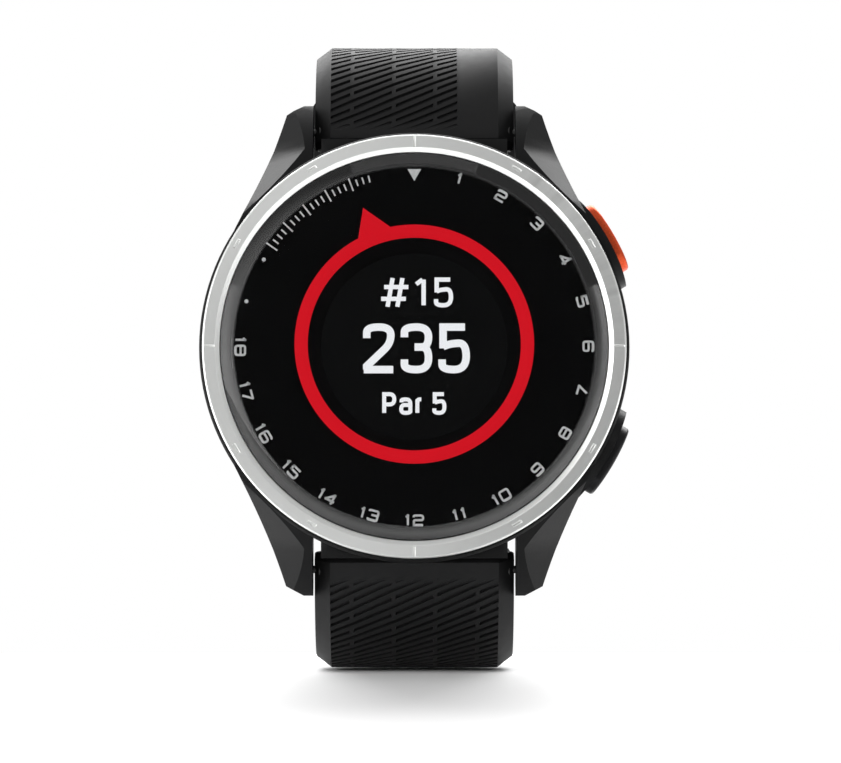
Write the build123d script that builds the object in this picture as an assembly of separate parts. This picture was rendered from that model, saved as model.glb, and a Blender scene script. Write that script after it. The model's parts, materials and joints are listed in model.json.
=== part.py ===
from build123d import *
import os
from math import cos, degrees, pi, radians, sin, sqrt

# Golf GPS watch. The model is laid out in the dial frame: X to 3 o'clock, Y to 12 o'clock and
# Z out of the dial, with Z = 0 on the flat case back. export() turns it upright, so that the
# stored part has 12 o'clock up (+Z) and the dial facing -Y. All sizes are in millimetres.

# ---------------------------------------------------------------- driving dimensions
CASE_RADIUS = 21.9
CASE_WALL_TOP = 9.0            # shoulder that the bezel sits on
CASE_BOTTOM_RADIUS = CASE_RADIUS - 1.8   # the side draws in towards the wrist
CAVITY_RADIUS = CASE_RADIUS - 3.3
CAVITY_FLOOR = 1.2             # inner face of the case back
LENS_SEAT = 9.85               # ledge under the lens
LENS_THICKNESS = 1.55
LENS_EDGE_HEIGHT = 0.9         # straight part of the lens edge below its curve
LENS_CURVE_WIDTH = 1.75        # rounded margin of the lens
BEZEL_INNER_RADIUS = CASE_RADIUS - 2.2
BEZEL_OUTER_RADIUS = CASE_RADIUS - 0.4
BEZEL_TOP = 11.1
BEZEL_INNER_BEVEL = 0.5
BEZEL_OUTER_BEVEL = 0.25
MARK_DEPTH = 0.12
MARK_WIDTH = 0.23
MARK_LENGTH = 1.0
DISPLAY_RADIUS = 15.2
DISPLAY_BORDER = 1.0
DISPLAY_THICKNESS = 1.0
DIAL_RING_RADIUS = CAVITY_RADIUS - 0.2

# inside the case
BOARD_BOTTOM = 6.2
BOARD_TOP = 7.0
BOARD_RADIUS = CAVITY_RADIUS - 3.2
BOARD_POST_CIRCLE = BOARD_RADIUS - 2.8
BOARD_POST_TURNS = (20, 140, 235)
FRAME_BOTTOM = 4.9
FRAME_TOP = 5.4
BATTERY_SIZE = (20.0, CAVITY_RADIUS + 3.4, 3.4)
TAPE_THICKNESS = 0.15
FLEX_THICKNESS = 0.12
CHIP_THICKNESS = 0.6
SHIELD_HEIGHT = 1.1
SHIELD_WALL = 0.15
MOTOR_RADIUS = 4.0
MOTOR_HEIGHT = 2.7
MOTOR_WALL = 0.25
MOTOR_SHAFT_RADIUS = 0.4
MOTOR_X = 4.4 - CAVITY_RADIUS  # beside the battery
CHARGER_Y = 4.2 - CAVITY_RADIUS
CHARGER_SIZE = (8.4, 3.6)
CHARGER_HEIGHT = 2.7
CONTACT_PLACES = (-2.7, -0.9, 0.9, 2.7)
CONTACT_RADIUS = 0.44
CONTACT_TOP = 3.0
GASKET_DEPTH = 0.5
SCREW_CIRCLE = CAVITY_RADIUS - 1.0
SCREW_THREAD = 0.72
SCREW_HEAD = 1.35
SCREW_HEAD_SEAT = 0.75

STRAP_WIDTH = 20.5
STRAP_THICKNESS = 3.0
STRAP_BEVEL_WIDTH = 1.6
STRAP_BEVEL_HEIGHT = 1.2
STRAP_BARREL_RADIUS = 1.9
UPPER_STRAP_LENGTH = 76.0
LOWER_STRAP_LENGTH = 117.0
STRAP_SHOULDER_RADIUS = 10.25  # bend next to the lugs
UPPER_STRAP_RADIUS = 120.0     # long curve of the short half
LOWER_STRAP_RADIUS = 220.0
SHOULDER_START = 20.0          # fall of the short straight at the bar, in degrees
SHOULDER_LEAD = 2.0            # length of that straight
HOLE_COUNT = 12
HOLE_PITCH = 5.6
HOLE_LENGTH = 3.4
HOLE_WIDTH = 2.4
HOLE_END_MARGIN = 14.0         # tail end to the first hole

LUG_TIP = CASE_RADIUS + 3.3    # lug tips stand 50.4 mm apart, tip to tip
LUG_ROOT = CASE_RADIUS - 9.9                # where each lug meets the round of the case
LUG_BOTTOM = 0.9
LUG_RIDGE_WIDTH = 1.1          # flat top edge of each lug
LUG_FACET_DROP = 1.15          # fall of the outer facet, per mm outwards
END_BLOCK_INSET = 0.9          # the case's end blocks stop short of the lugs by this much
BAR_OFFSET = CASE_RADIUS + 0.6 # spring bar axis from the dial centre
BAR_HEIGHT = 2.9
BAR_RADIUS = 0.75
BAR_BORE = 0.5
BAR_TIP_RADIUS = 0.4
BAR_TIP_REACH = 0.75           # how far each tip enters its lug
BAR_TIP_TRAVEL = 1.2
BAR_PLUG = 1.4                 # length of the fixed tip inside the tube
BAR_SPRING_WIRE = 0.12
BAR_SPRING_TURNS = 8
PLUNGER_START = 4.6
LEVER_X = 6.4                  # release lever from the middle of the bar
LEVER_RADIUS = 0.25

BUTTON_ANGLE = 30.0            # above and below 3 o'clock
BUTTON_HEIGHT = 5.6
BUTTON_LENGTH = 7.7
BUTTON_WIDTH = 3.8
BUTTON_REACH = CASE_RADIUS + 1.6    # outer face from the dial centre
BUTTON_TRAVEL = 0.5
BUTTON_SEAT = CASE_RADIUS - 1.3     # floor of the button pocket from the dial centre
BUTTON_INNER = CASE_RADIUS - 0.55   # inner face of the cap
GUARD_REACH = CASE_RADIUS + 0.75
STEM_RADIUS = 0.8
STEM_END = CAVITY_RADIUS - 1.25
CAP_SOCKET = 0.8               # depth of the stem's socket in the cap
CLIP_INNER = 0.5
CLIP_OUTER = 1.45
CLIP_THICKNESS = 0.3
CLIP_START = CAVITY_RADIUS - 0.55
SPRING_RADIUS = 1.3
SPRING_SEAT = BUTTON_SEAT - 0.65
SPRING_WIRE = 0.13
SEAL_WIRE = 0.25
SEAL_START = CAVITY_RADIUS + 0.4
SWITCH_BACK = CAVITY_RADIUS - 2.8   # back of both button switches

BUCKLE_WIDTH = 25.0
BUCKLE_REACH = 13.0            # pin axis to the front bar axis
BUCKLE_BAR = 2.2
BUCKLE_PIN_RADIUS = 0.75
BUCKLE_EYE = 1.7
BUCKLE_CORNER = 2.6
TONGUE_WIDTH = 2.0
TONGUE_THICKNESS = 1.0
TONGUE_EYE = 1.55
TONGUE_SEAT = 0.5
KEEPER_WIDTH = 5.0
KEEPER_WALL = 1.1
KEEPER_CORNER = 1.4
FIXED_KEEPER_BACK = 10.0       # buckle pin to the fixed keeper
SLIDING_KEEPER_BACK = 23.0     # buckle pin to the sliding keeper at rest

# named clearances
RUNNING = 0.05                 # round running fits, on the radius
SLIDE_GAP = 0.15
LUG_GAP = 0.15                 # each side of the strap
LENS_GAP = 0.08
SEAT_GAP = 0.05
BARREL_GAP = 0.35
KEEPER_GAP = 0.35
PRESS_GAP = 0.01
PRINT_GAP = 0.05               # dial ring below the lens

# derived sizes
BEZEL_SEAT = CASE_WALL_TOP
LUG_INNER = STRAP_WIDTH / 2 + LUG_GAP
BACK_RADIUS = CAVITY_RADIUS + 0.8
BACK_SEAT_RADIUS = BACK_RADIUS + SEAT_GAP * 2
LENS_RADIUS = BEZEL_INNER_RADIUS - LENS_GAP
LENS_TOP = LENS_SEAT + LENS_THICKNESS
GASKET_THICKNESS = 0.15
PANEL_RADIUS = DISPLAY_RADIUS + DISPLAY_BORDER
PANEL_TOP = LENS_SEAT - 0.1
PANEL_BOTTOM = PANEL_TOP - DISPLAY_THICKNESS
GASKET_INNER = BACK_RADIUS - 0.65
GASKET_OUTER = BACK_RADIUS - 0.15
SEAL_MEAN = STEM_RADIUS + RUNNING + SEAL_WIRE
LEVER_SLOT = (LEVER_X - BAR_TIP_TRAVEL - 0.6, LEVER_X + 0.6)
BAR_END = LUG_INNER - 0.6
FIXED_KEEPER_AT = UPPER_STRAP_LENGTH - FIXED_KEEPER_BACK
SLIDING_KEEPER_AT = UPPER_STRAP_LENGTH - SLIDING_KEEPER_BACK

X_AXIS = Vector(1, 0, 0)


# ---------------------------------------------------------------- helpers
def disc(radius, bottom, top):
    return Pos(0, 0, bottom) * Cylinder(radius, top - bottom, align=(Align.CENTER, Align.CENTER, Align.MIN))


def ring(inner, outer, bottom, top):
    return disc(outer, bottom, top) - disc(inner, bottom - 1, top + 1)


def block(x, y, z):
    """Box from (low, high) pairs."""
    size = (x[1] - x[0], y[1] - y[0], z[1] - z[0])
    return Pos((x[0] + x[1]) / 2, (y[0] + y[1]) / 2, (z[0] + z[1]) / 2) * Box(*size)


def turned(points):
    """Solid of revolution about Z from (radius, height) points."""
    outline = Polyline([(r, 0, z) for r, z in points], close=True)
    return revolve(make_face(outline), Axis.Z)


def rod(radius, start, end, y=0.0, z=0.0):
    """Round bar along X."""
    bar = Cylinder(radius, end - start, rotation=(0, 90, 0))
    return Pos((start + end) / 2, y, z) * bar


def coil(mean_radius, wire_radius, length, turns):
    """Round-wire compression spring along +Z, its ends on Z = 0 and Z = length."""
    height = length - 2 * wire_radius
    path = Helix(pitch=height / turns, height=height, radius=mean_radius)
    section = Plane(path @ 0, z_dir=path % 0) * Circle(wire_radius)
    return Pos(0, 0, wire_radius) * sweep(section, path=path, is_frenet=True)


# ---------------------------------------------------------------- case
def lug_outline():
    """Plan of the upper right lug, from its inner face round the tip to the case."""
    start = (LUG_INNER, LUG_ROOT, 0)
    end = (LUG_INNER, LUG_TIP, 0)
    ridge = (LUG_INNER + 0.95, LUG_TIP, 0)
    corner = (LUG_INNER + 2.75, LUG_TIP - 0.95, 0)
    belly = (LUG_INNER + 4.6, LUG_TIP - 6.0, 0)
    root = (sqrt(CASE_RADIUS ** 2 - LUG_ROOT ** 2), LUG_ROOT, 0)
    edges = [Line(start, end), Line(end, ridge), Line(ridge, corner)]
    edges += [ThreePointArc(corner, belly, root), Line(root, start)]
    return make_face(edges)


def lug_side():
    """Side view of a lug: flat to the wrist, its back curving down to the tip."""
    start = (0, LUG_ROOT - 2, LUG_BOTTOM)
    toe = (0, LUG_TIP - 1.2, LUG_BOTTOM)
    tip = (0, LUG_TIP, LUG_BOTTOM + 0.9)
    brow = (0, LUG_TIP, LUG_BOTTOM + 3.3)
    shoulder = (0, LUG_ROOT + 2, CASE_WALL_TOP)
    top = (0, LUG_ROOT - 2, CASE_WALL_TOP)
    edges = [Line(start, toe), Line(toe, tip), Line(tip, brow)]
    edges += [TangentArc(shoulder, brow, tangent=(0, 1, 0)), Line(shoulder, top), Line(top, start)]
    return make_face(edges)


def lug():
    """Upper right lug: a narrow flat ridge beside the strap and a broad outer facet."""
    plan = extrude(lug_outline(), amount=12, dir=(0, 0, 1))
    side = extrude(lug_side(), amount=30, dir=(1, 0, 0))
    blank = plan & side
    ridge = LUG_INNER + LUG_RIDGE_WIDTH
    drop = Vector(1, 0, -LUG_FACET_DROP)
    to_tip = Vector(0, 1, -0.35)
    along_strap = Plane(origin=(ridge, LUG_TIP - 5.2, 7.4), x_dir=to_tip, z_dir=to_tip.cross(-drop))
    to_case = Vector(3.1, -3.6, 1.0)
    beside_case = Plane(origin=(ridge, LUG_TIP - 5.1, 7.7), x_dir=to_case, z_dir=to_case.cross(drop))
    outer = split(blank, bisect_by=along_strap, keep=Keep.BOTTOM)
    inner = split(blank, bisect_by=beside_case, keep=Keep.BOTTOM)
    return outer + inner


def four_ways(shape):
    """The shape and its mirror images left, below and opposite."""
    left = mirror(shape, Plane.YZ)
    return [shape, left, mirror(shape, Plane.XZ), mirror(left, Plane.XZ)]


def button_place(angle):
    """Local frame of a button: local Z points outwards, local Y along the dial axis."""
    out = Vector(cos(radians(angle)), sin(radians(angle)), 0)
    return Plane(origin=(0, 0, BUTTON_HEIGHT), x_dir=Vector(0, 0, 1).cross(out) * -1, z_dir=out)


def pill(length, width, start, end):
    return Pos(0, 0, start) * extrude(SlotOverall(length, width), amount=end - start)


def button_guard(angle):
    """Raised housing round a button, following the round of the case."""
    housing = pill(BUTTON_LENGTH + 2.8, BUTTON_WIDTH + 2.4, BUTTON_SEAT - 1.1, GUARD_REACH + 1)
    sector = button_place(angle) * housing
    return sector & disc(GUARD_REACH, 0, CASE_WALL_TOP)


def button_opening(angle):
    """Pocket, spring seat, stem bore and seal groove, cut from the case."""
    place = button_place(angle)
    gap = 2 * SLIDE_GAP
    cuts = [
        pill(BUTTON_LENGTH + gap, BUTTON_WIDTH + gap, BUTTON_SEAT, BUTTON_REACH + 2),
        disc(SPRING_RADIUS + 0.25, SPRING_SEAT, BUTTON_SEAT + 0.1),
        disc(STEM_RADIUS + RUNNING, CAVITY_RADIUS - 2, BUTTON_SEAT),
        disc(SEAL_MEAN + SEAL_WIRE + 0.05, SEAL_START, SEAL_START + 2 * SEAL_WIRE + 0.1),
    ]
    return [place * cut for cut in cuts]


def screw_places():
    turn = radians(45)
    step = SCREW_CIRCLE * cos(turn)
    return [(step, step), (-step, step), (-step, -step), (step, -step)]


def case_body():
    """Polymer case: round shell, lugs, strap end blocks, button guards and screw bosses."""
    shell = turned([
        (0, 0),
        (CASE_BOTTOM_RADIUS, 0),
        (CASE_RADIUS - 0.35, 1.9),
        (CASE_RADIUS, 4.2),
        (CASE_RADIUS, CASE_WALL_TOP - 0.25),
        (CASE_RADIUS - 0.2, CASE_WALL_TOP),
        (BEZEL_INNER_RADIUS - SEAT_GAP, CASE_WALL_TOP),
        (BEZEL_INNER_RADIUS - SEAT_GAP, LENS_SEAT),
        (0, LENS_SEAT),
    ])
    side = LUG_INNER - END_BLOCK_INSET
    end_block = block((-side, side), (CASE_RADIUS - 6.9, CASE_RADIUS - 0.5), (4, CASE_WALL_TOP - 1.2))
    body = shell + four_ways(lug()) + [end_block, mirror(end_block, Plane.XZ)]
    body += [button_guard(BUTTON_ANGLE), button_guard(-BUTTON_ANGLE)]
    body -= disc(CAVITY_RADIUS, CAVITY_FLOOR, LENS_SEAT - 1)
    body -= disc(DIAL_RING_RADIUS + SEAT_GAP, LENS_SEAT - 2, LENS_SEAT + 1)
    bosses = [Pos(x, y, 0) * disc(1.5, CAVITY_FLOOR, CAVITY_FLOOR + 3) for x, y in screw_places()]
    body += [boss & disc(CAVITY_RADIUS + 0.5, 0, LENS_SEAT) for boss in bosses]
    body -= disc(BACK_SEAT_RADIUS, -1, CAVITY_FLOOR)
    body -= ring(GASKET_INNER, GASKET_OUTER, CAVITY_FLOOR - 0.5, CAVITY_FLOOR + GASKET_DEPTH)
    body -= [Pos(x, y, 0) * disc(SCREW_THREAD, 0, CAVITY_FLOOR + 2.4) for x, y in screw_places()]
    for cut in strap_channel():
        body -= cut
        body -= mirror(cut, Plane.XZ)
    for angle in (BUTTON_ANGLE, -BUTTON_ANGLE):
        body -= button_opening(angle)
    return body


def strap_channel():
    """Room between the upper lugs for the strap end to turn, and the two bar tip holes."""
    barrel = rod(STRAP_BARREL_RADIUS + BARREL_GAP, -LUG_INNER, LUG_INNER, BAR_OFFSET, BAR_HEIGHT)
    reach = STRAP_BARREL_RADIUS + BARREL_GAP
    across = (-LUG_INNER, LUG_INNER)
    mouth = block(across, (BAR_OFFSET, LUG_TIP + 5), (-2, BAR_HEIGHT + reach))
    below = block(across, (BAR_OFFSET - reach, LUG_TIP), (-2, BAR_HEIGHT))
    hole = BAR_TIP_RADIUS + RUNNING
    deep = LUG_INNER + BAR_TIP_REACH + 0.25
    return [barrel, mouth, below, rod(hole, -deep, deep, BAR_OFFSET, BAR_HEIGHT)]


def case_back():
    """Flat back plate with screw counterbores and the charging block's opening."""
    plate = disc(BACK_RADIUS, 0, CAVITY_FLOOR)
    plate = chamfer(plate.edges().group_by(Axis.Z)[0], 0.3)
    for x, y in screw_places():
        plate -= Pos(x, y, 0) * disc(SCREW_THREAD + 0.13, -1, CAVITY_FLOOR + 1)
        plate -= Pos(x, y, 0) * disc(SCREW_HEAD + 0.1, -1, SCREW_HEAD_SEAT)
    width, height = CHARGER_SIZE
    plate -= Pos(0, CHARGER_Y, 0) * Box(width + 0.1, height + 0.1, 6)
    return plate


def case_screws():
    screws = []
    for x, y in screw_places():
        head = disc(SCREW_HEAD, 0.2, SCREW_HEAD_SEAT)
        head -= extrude(RegularPolygon(0.6, 6), amount=0.5)
        shank = disc(SCREW_THREAD - 0.02, SCREW_HEAD_SEAT, CAVITY_FLOOR + 2.2)
        screws.append(Pos(x, y, 0) * (head + shank))
    return screws


def back_gasket():
    inner = GASKET_INNER + 0.02
    return ring(inner, GASKET_OUTER - 0.02, CAVITY_FLOOR, CAVITY_FLOOR + GASKET_DEPTH - 0.02)


def bezel_ring():
    """Metal ring with bevelled edges and an engraved mark at each hour."""
    body = turned([
        (BEZEL_INNER_RADIUS, BEZEL_SEAT),
        (BEZEL_OUTER_RADIUS, BEZEL_SEAT),
        (BEZEL_OUTER_RADIUS, BEZEL_TOP - BEZEL_OUTER_BEVEL),
        (BEZEL_OUTER_RADIUS - BEZEL_OUTER_BEVEL, BEZEL_TOP),
        (BEZEL_INNER_RADIUS + BEZEL_INNER_BEVEL, BEZEL_TOP),
        (BEZEL_INNER_RADIUS, BEZEL_TOP - BEZEL_INNER_BEVEL * 0.6),
    ])
    mid = (BEZEL_INNER_RADIUS + BEZEL_INNER_BEVEL + BEZEL_OUTER_RADIUS - BEZEL_OUTER_BEVEL) / 2
    for hour in range(12):
        if hour % 3 == 0:
            size = (MARK_LENGTH, MARK_WIDTH)
        else:
            size = (MARK_WIDTH * 1.3, MARK_LENGTH)
        mark = Pos(mid, 0, BEZEL_TOP) * Box(*size, 2 * MARK_DEPTH)
        body -= Rot(0, 0, 30 * hour) * mark
    return body


def lens():
    """Cover lens: flat centre and a margin that curves down to the bezel."""
    flat = LENS_RADIUS - LENS_CURVE_WIDTH
    shoulder = LENS_SEAT + GASKET_THICKNESS + LENS_EDGE_HEIGHT
    low = LENS_SEAT + GASKET_THICKNESS
    edges = [
        Line((0, 0, low), (LENS_RADIUS, 0, low)),
        Line((LENS_RADIUS, 0, low), (LENS_RADIUS, 0, shoulder)),
        TangentArc((flat, 0, LENS_TOP), (LENS_RADIUS, 0, shoulder), tangent=(1, 0, 0)),
        Line((flat, 0, LENS_TOP), (0, 0, LENS_TOP)),
        Line((0, 0, LENS_TOP), (0, 0, low)),
    ]
    return revolve(make_face(edges), Axis.Z)


def lens_gasket():
    return ring(DIAL_RING_RADIUS + 0.15, LENS_RADIUS - 0.1, LENS_SEAT, LENS_SEAT + GASKET_THICKNESS)


def dial_ring():
    """Black ring round the display that carries the hole numbers."""
    top = LENS_SEAT + GASKET_THICKNESS - PRINT_GAP
    return ring(DISPLAY_RADIUS + 0.15, DIAL_RING_RADIUS, PANEL_TOP, top)


def display_panel():
    return disc(PANEL_RADIUS, PANEL_BOTTOM, PANEL_TOP)


def display_frame():
    """Thin plate behind the panel, with three feet that stand on the board."""
    plate = disc(PANEL_RADIUS + 0.2, PANEL_BOTTOM - 0.4, PANEL_BOTTOM)
    foot = Pos(13.6, 0, 0) * disc(0.9, BOARD_TOP, PANEL_BOTTOM - 0.4)
    return plate + [Rot(0, 0, turn) * foot for turn in (70, 190, 310)]


# ---------------------------------------------------------------- electronics
def flex_strip(width, points, x=0.0):
    """Folded flexible circuit: an (y, z) outline extruded across its width."""
    outline = Polyline([(x - width / 2, y, z) for y, z in points], close=True)
    return extrude(make_face(outline), amount=width, dir=(1, 0, 0))


def display_flex():
    outer = -(PANEL_RADIUS + 1.1)
    thick = FLEX_THICKNESS
    side = -sqrt(PANEL_RADIUS ** 2 - 9)
    level = PANEL_TOP - 0.5
    return flex_strip(6, [
        (side - 0.35, level),
        (outer, level),
        (outer, BOARD_TOP),
        (-12.6, BOARD_TOP),
        (-12.6, BOARD_TOP + thick),
        (outer + thick, BOARD_TOP + thick),
        (outer + thick, level - thick),
        (side - 0.35, level - thick),
    ])


def inner_frame():
    """Moulded frame over the battery that carries the main board on three posts."""
    plate = disc(BOARD_RADIUS, FRAME_BOTTOM, FRAME_TOP)
    plate -= block((-3, 3), (BATTERY_SIZE[1] / 2, 20), (0, 10))
    plate -= block((-3, 3), (-20, -BATTERY_SIZE[1] / 2 - 0.4), (0, 10))
    for turn in BOARD_POST_TURNS:
        plate += Rot(0, 0, turn) * Pos(BOARD_POST_CIRCLE, 0, 0) * ring(0.5, 1.2, FRAME_TOP, BOARD_BOTTOM)
        plate -= Rot(0, 0, turn) * Pos(BOARD_POST_CIRCLE, 0, 0) * disc(0.5, FRAME_BOTTOM - 1, BOARD_BOTTOM)
    return plate


def main_board():
    board = disc(BOARD_RADIUS, BOARD_BOTTOM, BOARD_TOP)
    board -= block((-2.5, 2.5), (BATTERY_SIZE[1] / 2 + 1.5, 20), (0, 10))
    for turn in BOARD_POST_TURNS:
        board -= Rot(0, 0, turn) * Pos(BOARD_POST_CIRCLE, 0, 0) * disc(0.55, 0, 10)
    return board


def board_screws():
    screw = disc(0.9, BOARD_TOP, BOARD_TOP + 0.4) + disc(0.48, FRAME_BOTTOM + 0.1, BOARD_TOP)
    return [Rot(0, 0, turn) * Pos(BOARD_POST_CIRCLE, 0, 0) * screw for turn in BOARD_POST_TURNS]


def shield_can(x, y, width, height):
    low = BOARD_TOP
    across = width / 2
    along = height / 2
    can = block((x - across, x + across), (y - along, y + along), (low, low + SHIELD_HEIGHT))
    across -= SHIELD_WALL
    along -= SHIELD_WALL
    top = low + SHIELD_HEIGHT - SHIELD_WALL
    return can - block((x - across, x + across), (y - along, y + along), (low - 1, top))


def board_chips():
    level = (BOARD_BOTTOM - CHIP_THICKNESS, BOARD_BOTTOM)
    return [
        block((-6, -3), (-7.5, -5.3), level),
        block((5.5, 7.9), (-8, -5.6), level),
        block((8.5, 10.5), (-3, -1.8), level),
        block((-9, -7.4), (3.5, 6.5), level),
    ]


def gnss_antenna():
    return block((-4, 4), (8.2, 11.2), (BOARD_TOP, BOARD_TOP + SHIELD_HEIGHT))


def bluetooth_antenna():
    """Flexible antenna lying on the cavity wall at 9 o'clock."""
    band = ring(CAVITY_RADIUS - 0.15, CAVITY_RADIUS, 5.6, 8.2)
    return band & block((-CAVITY_RADIUS - 1, 0), (-9, 9), (0, 10))


def battery():
    """Pouch cell with rounded edges."""
    low = CAVITY_FLOOR + TAPE_THICKNESS
    cell = Pos(0, 0, low + BATTERY_SIZE[2] / 2) * Box(*BATTERY_SIZE)
    return fillet(cell.edges().filter_by(Axis.Z), 1.2)


def battery_tape():
    width, height, _ = BATTERY_SIZE
    return Pos(0, 0, CAVITY_FLOOR + TAPE_THICKNESS / 2) * Box(width - 3, height - 3, TAPE_THICKNESS)


def battery_lead():
    edge = BATTERY_SIZE[1] / 2
    return block((-2, 2), (edge, edge + FLEX_THICKNESS), (CAVITY_FLOOR + 1.4, BOARD_BOTTOM))


def motor_case():
    """Coin vibration motor can, open to the wrist side, with its centre shaft."""
    low = CAVITY_FLOOR + 0.1
    roof = low + MOTOR_HEIGHT - MOTOR_WALL
    can = disc(MOTOR_RADIUS, low, low + MOTOR_HEIGHT) - disc(MOTOR_RADIUS - MOTOR_WALL, low - 1, roof)
    return Pos(MOTOR_X, 0, 0) * (can + disc(MOTOR_SHAFT_RADIUS, low, roof))


def motor_rotor():
    """Half-moon weight that hangs on the motor's shaft and spins."""
    low = CAVITY_FLOOR + 0.5
    radius = MOTOR_RADIUS - MOTOR_WALL - 0.3
    weight = disc(radius, low, low + 1.7) & block((-radius, radius), (-radius, 0), (0, 5))
    hub = disc(1.0, low, low + 1.7)
    return Pos(MOTOR_X, 0, 0) * (weight + hub - disc(MOTOR_SHAFT_RADIUS + RUNNING, 0, 5))


def charging_block():
    """Insulator in the back with a shallow recess for the charging clip."""
    width, height = CHARGER_SIZE
    body = Pos(0, CHARGER_Y, CHARGER_HEIGHT / 2) * Box(width, height, CHARGER_HEIGHT)
    body -= Pos(0, CHARGER_Y, 0) * Box(width - 1, height - 1, 1.6)
    for x in CONTACT_PLACES:
        body -= Pos(x, CHARGER_Y, 0) * disc(CONTACT_RADIUS + PRESS_GAP, 0, 4)
    return body


def charging_contacts():
    return [Pos(x, CHARGER_Y, 0) * disc(CONTACT_RADIUS, 0.35, CONTACT_TOP) for x in CONTACT_PLACES]


def charging_flex():
    back = CHARGER_Y + 1.0
    thick = FLEX_THICKNESS
    return flex_strip(5, [
        (CHARGER_Y - 1.2, CONTACT_TOP),
        (back, CONTACT_TOP),
        (back, BOARD_BOTTOM),
        (back - thick, BOARD_BOTTOM),
        (back - thick, CONTACT_TOP + thick),
        (CHARGER_Y - 1.2, CONTACT_TOP + thick),
    ])


def switch_flex():
    """Strip that stands behind both button switches."""
    band = ring(SWITCH_BACK - 0.18, SWITCH_BACK - 0.03, BUTTON_HEIGHT - 1.5, BOARD_BOTTOM - 0.05)
    near = SWITCH_BACK * cos(radians(BUTTON_ANGLE + 9))
    return band & block((near, SWITCH_BACK + 1), (-SWITCH_BACK, SWITCH_BACK), (0, 10))


# ---------------------------------------------------------------- buttons
def button_cap(angle):
    """Oblong cap whose outer face follows the round of the case."""
    blank = button_place(angle) * pill(BUTTON_LENGTH, BUTTON_WIDTH, BUTTON_INNER, BUTTON_REACH + 1)
    cap = blank & disc(BUTTON_REACH, 0, CASE_WALL_TOP)
    rim = [edge for edge in cap.edges() if edge.center().length > BUTTON_INNER + 1]
    cap = fillet(rim, 0.35)
    return cap - button_place(angle) * disc(STEM_RADIUS, BUTTON_INNER - 1, BUTTON_INNER + CAP_SOCKET)


def button_stem(angle):
    """Stem from inside the cap to the switch, with a groove for its clip."""
    stem = disc(STEM_RADIUS, STEM_END, BUTTON_INNER + CAP_SOCKET)
    stem -= ring(CLIP_INNER, STEM_RADIUS + 1, CLIP_START, CLIP_START + CLIP_THICKNESS)
    return button_place(angle) * stem


def button_clip(angle):
    """Open retaining clip that stops the button from coming out."""
    clip = ring(CLIP_INNER, CLIP_OUTER, CLIP_START, CLIP_START + CLIP_THICKNESS)
    clip -= block((-0.45, 0.45), (0, 2), (CLIP_START - 1, CLIP_START + 1))
    return button_place(angle) * clip


def button_seal(angle):
    torus = Pos(0, 0, SEAL_START + SEAL_WIRE + 0.05) * Torus(SEAL_MEAN, SEAL_WIRE)
    return button_place(angle) * torus


def button_spring(angle):
    spring = coil(SPRING_RADIUS - SPRING_WIRE, SPRING_WIRE, BUTTON_INNER - SPRING_SEAT, 3)
    return button_place(angle) * Pos(0, 0, SPRING_SEAT) * spring


def button_switch(angle):
    """Tactile switch: body and dome, facing the stem."""
    body = block((-1.6, 1.6), (-1.3, 1.3), (SWITCH_BACK, SWITCH_BACK + 0.75))
    dome = disc(0.7, SWITCH_BACK + 0.75, STEM_END - BUTTON_TRAVEL - 0.05)
    return button_place(angle) * (body + dome)


# ---------------------------------------------------------------- strap path
# Each half lies on a path in the (Y, Z) plane: a short straight at the bar, a tight shoulder
# and a long gentle curve. The fall angle is measured from +Y towards the wrist.

def strap_stations(long_radius):
    """Straight, shoulder and long curve as (length, radius, start point, start fall angle)."""
    fall = radians(SHOULDER_START)
    start = (BAR_OFFSET, BAR_HEIGHT)
    bend = (start[0] + SHOULDER_LEAD * cos(fall), start[1] - SHOULDER_LEAD * sin(fall))
    turn = pi / 2 - fall
    top = (bend[0] + STRAP_SHOULDER_RADIUS * (1 - sin(fall)), bend[1] - STRAP_SHOULDER_RADIUS * cos(fall))
    shoulder = STRAP_SHOULDER_RADIUS * turn
    return [
        (SHOULDER_LEAD, None, start, fall),
        (shoulder, STRAP_SHOULDER_RADIUS, bend, fall),
        (None, long_radius, top, pi / 2),
    ]


def path_plane(point, fall):
    """Frame on the path: local X across the strap, local Y along it, local Z outwards."""
    return Plane(origin=(0, *point), x_dir=X_AXIS, z_dir=Vector(0, sin(fall), cos(fall)))


def strap_place(long_radius, distance):
    """Frame on the strap at a distance from the bar."""
    left = distance
    for length, radius, point, fall in strap_stations(long_radius):
        if length is None or left <= length:
            break
        left -= length
    if radius is None:
        return path_plane((point[0] + left * cos(fall), point[1] - left * sin(fall)), fall)
    end = fall + left / radius
    y = point[0] + radius * (sin(end) - sin(fall))
    z = point[1] + radius * (cos(end) - cos(fall))
    return path_plane((y, z), end)


def strap_section(place):
    """Cross-section: flat to the wrist, with two broad bevels on the outside."""
    half = STRAP_WIDTH / 2
    low = -STRAP_THICKNESS / 2
    top = STRAP_THICKNESS / 2
    points = [
        (-half, 0, low + 0.3),
        (-half + 0.3, 0, low),
        (half - 0.3, 0, low),
        (half, 0, low + 0.3),
        (half, 0, top - STRAP_BEVEL_HEIGHT),
        (half - STRAP_BEVEL_WIDTH, 0, top),
        (-half + STRAP_BEVEL_WIDTH, 0, top),
        (-half, 0, top - STRAP_BEVEL_HEIGHT),
    ]
    corners = [place.from_local_coords(Vector(*point)) for point in points]
    return make_face(Polyline(corners, close=True))


def strap_band(long_radius, length):
    """Strap body of the full cross-section along its path."""
    left = length
    pieces = []
    for run, radius, point, fall in strap_stations(long_radius):
        run = left if run is None else run
        place = path_plane(point, fall)
        face = strap_section(place)
        if radius is None:
            pieces.append(extrude(face, amount=run, dir=place.y_dir))
        else:
            centre = place.origin - place.z_dir * radius
            pieces.append(revolve(face, Axis(centre, -X_AXIS), degrees(run / radius)))
        left -= run
    return pieces[0] + pieces[1:]


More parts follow.
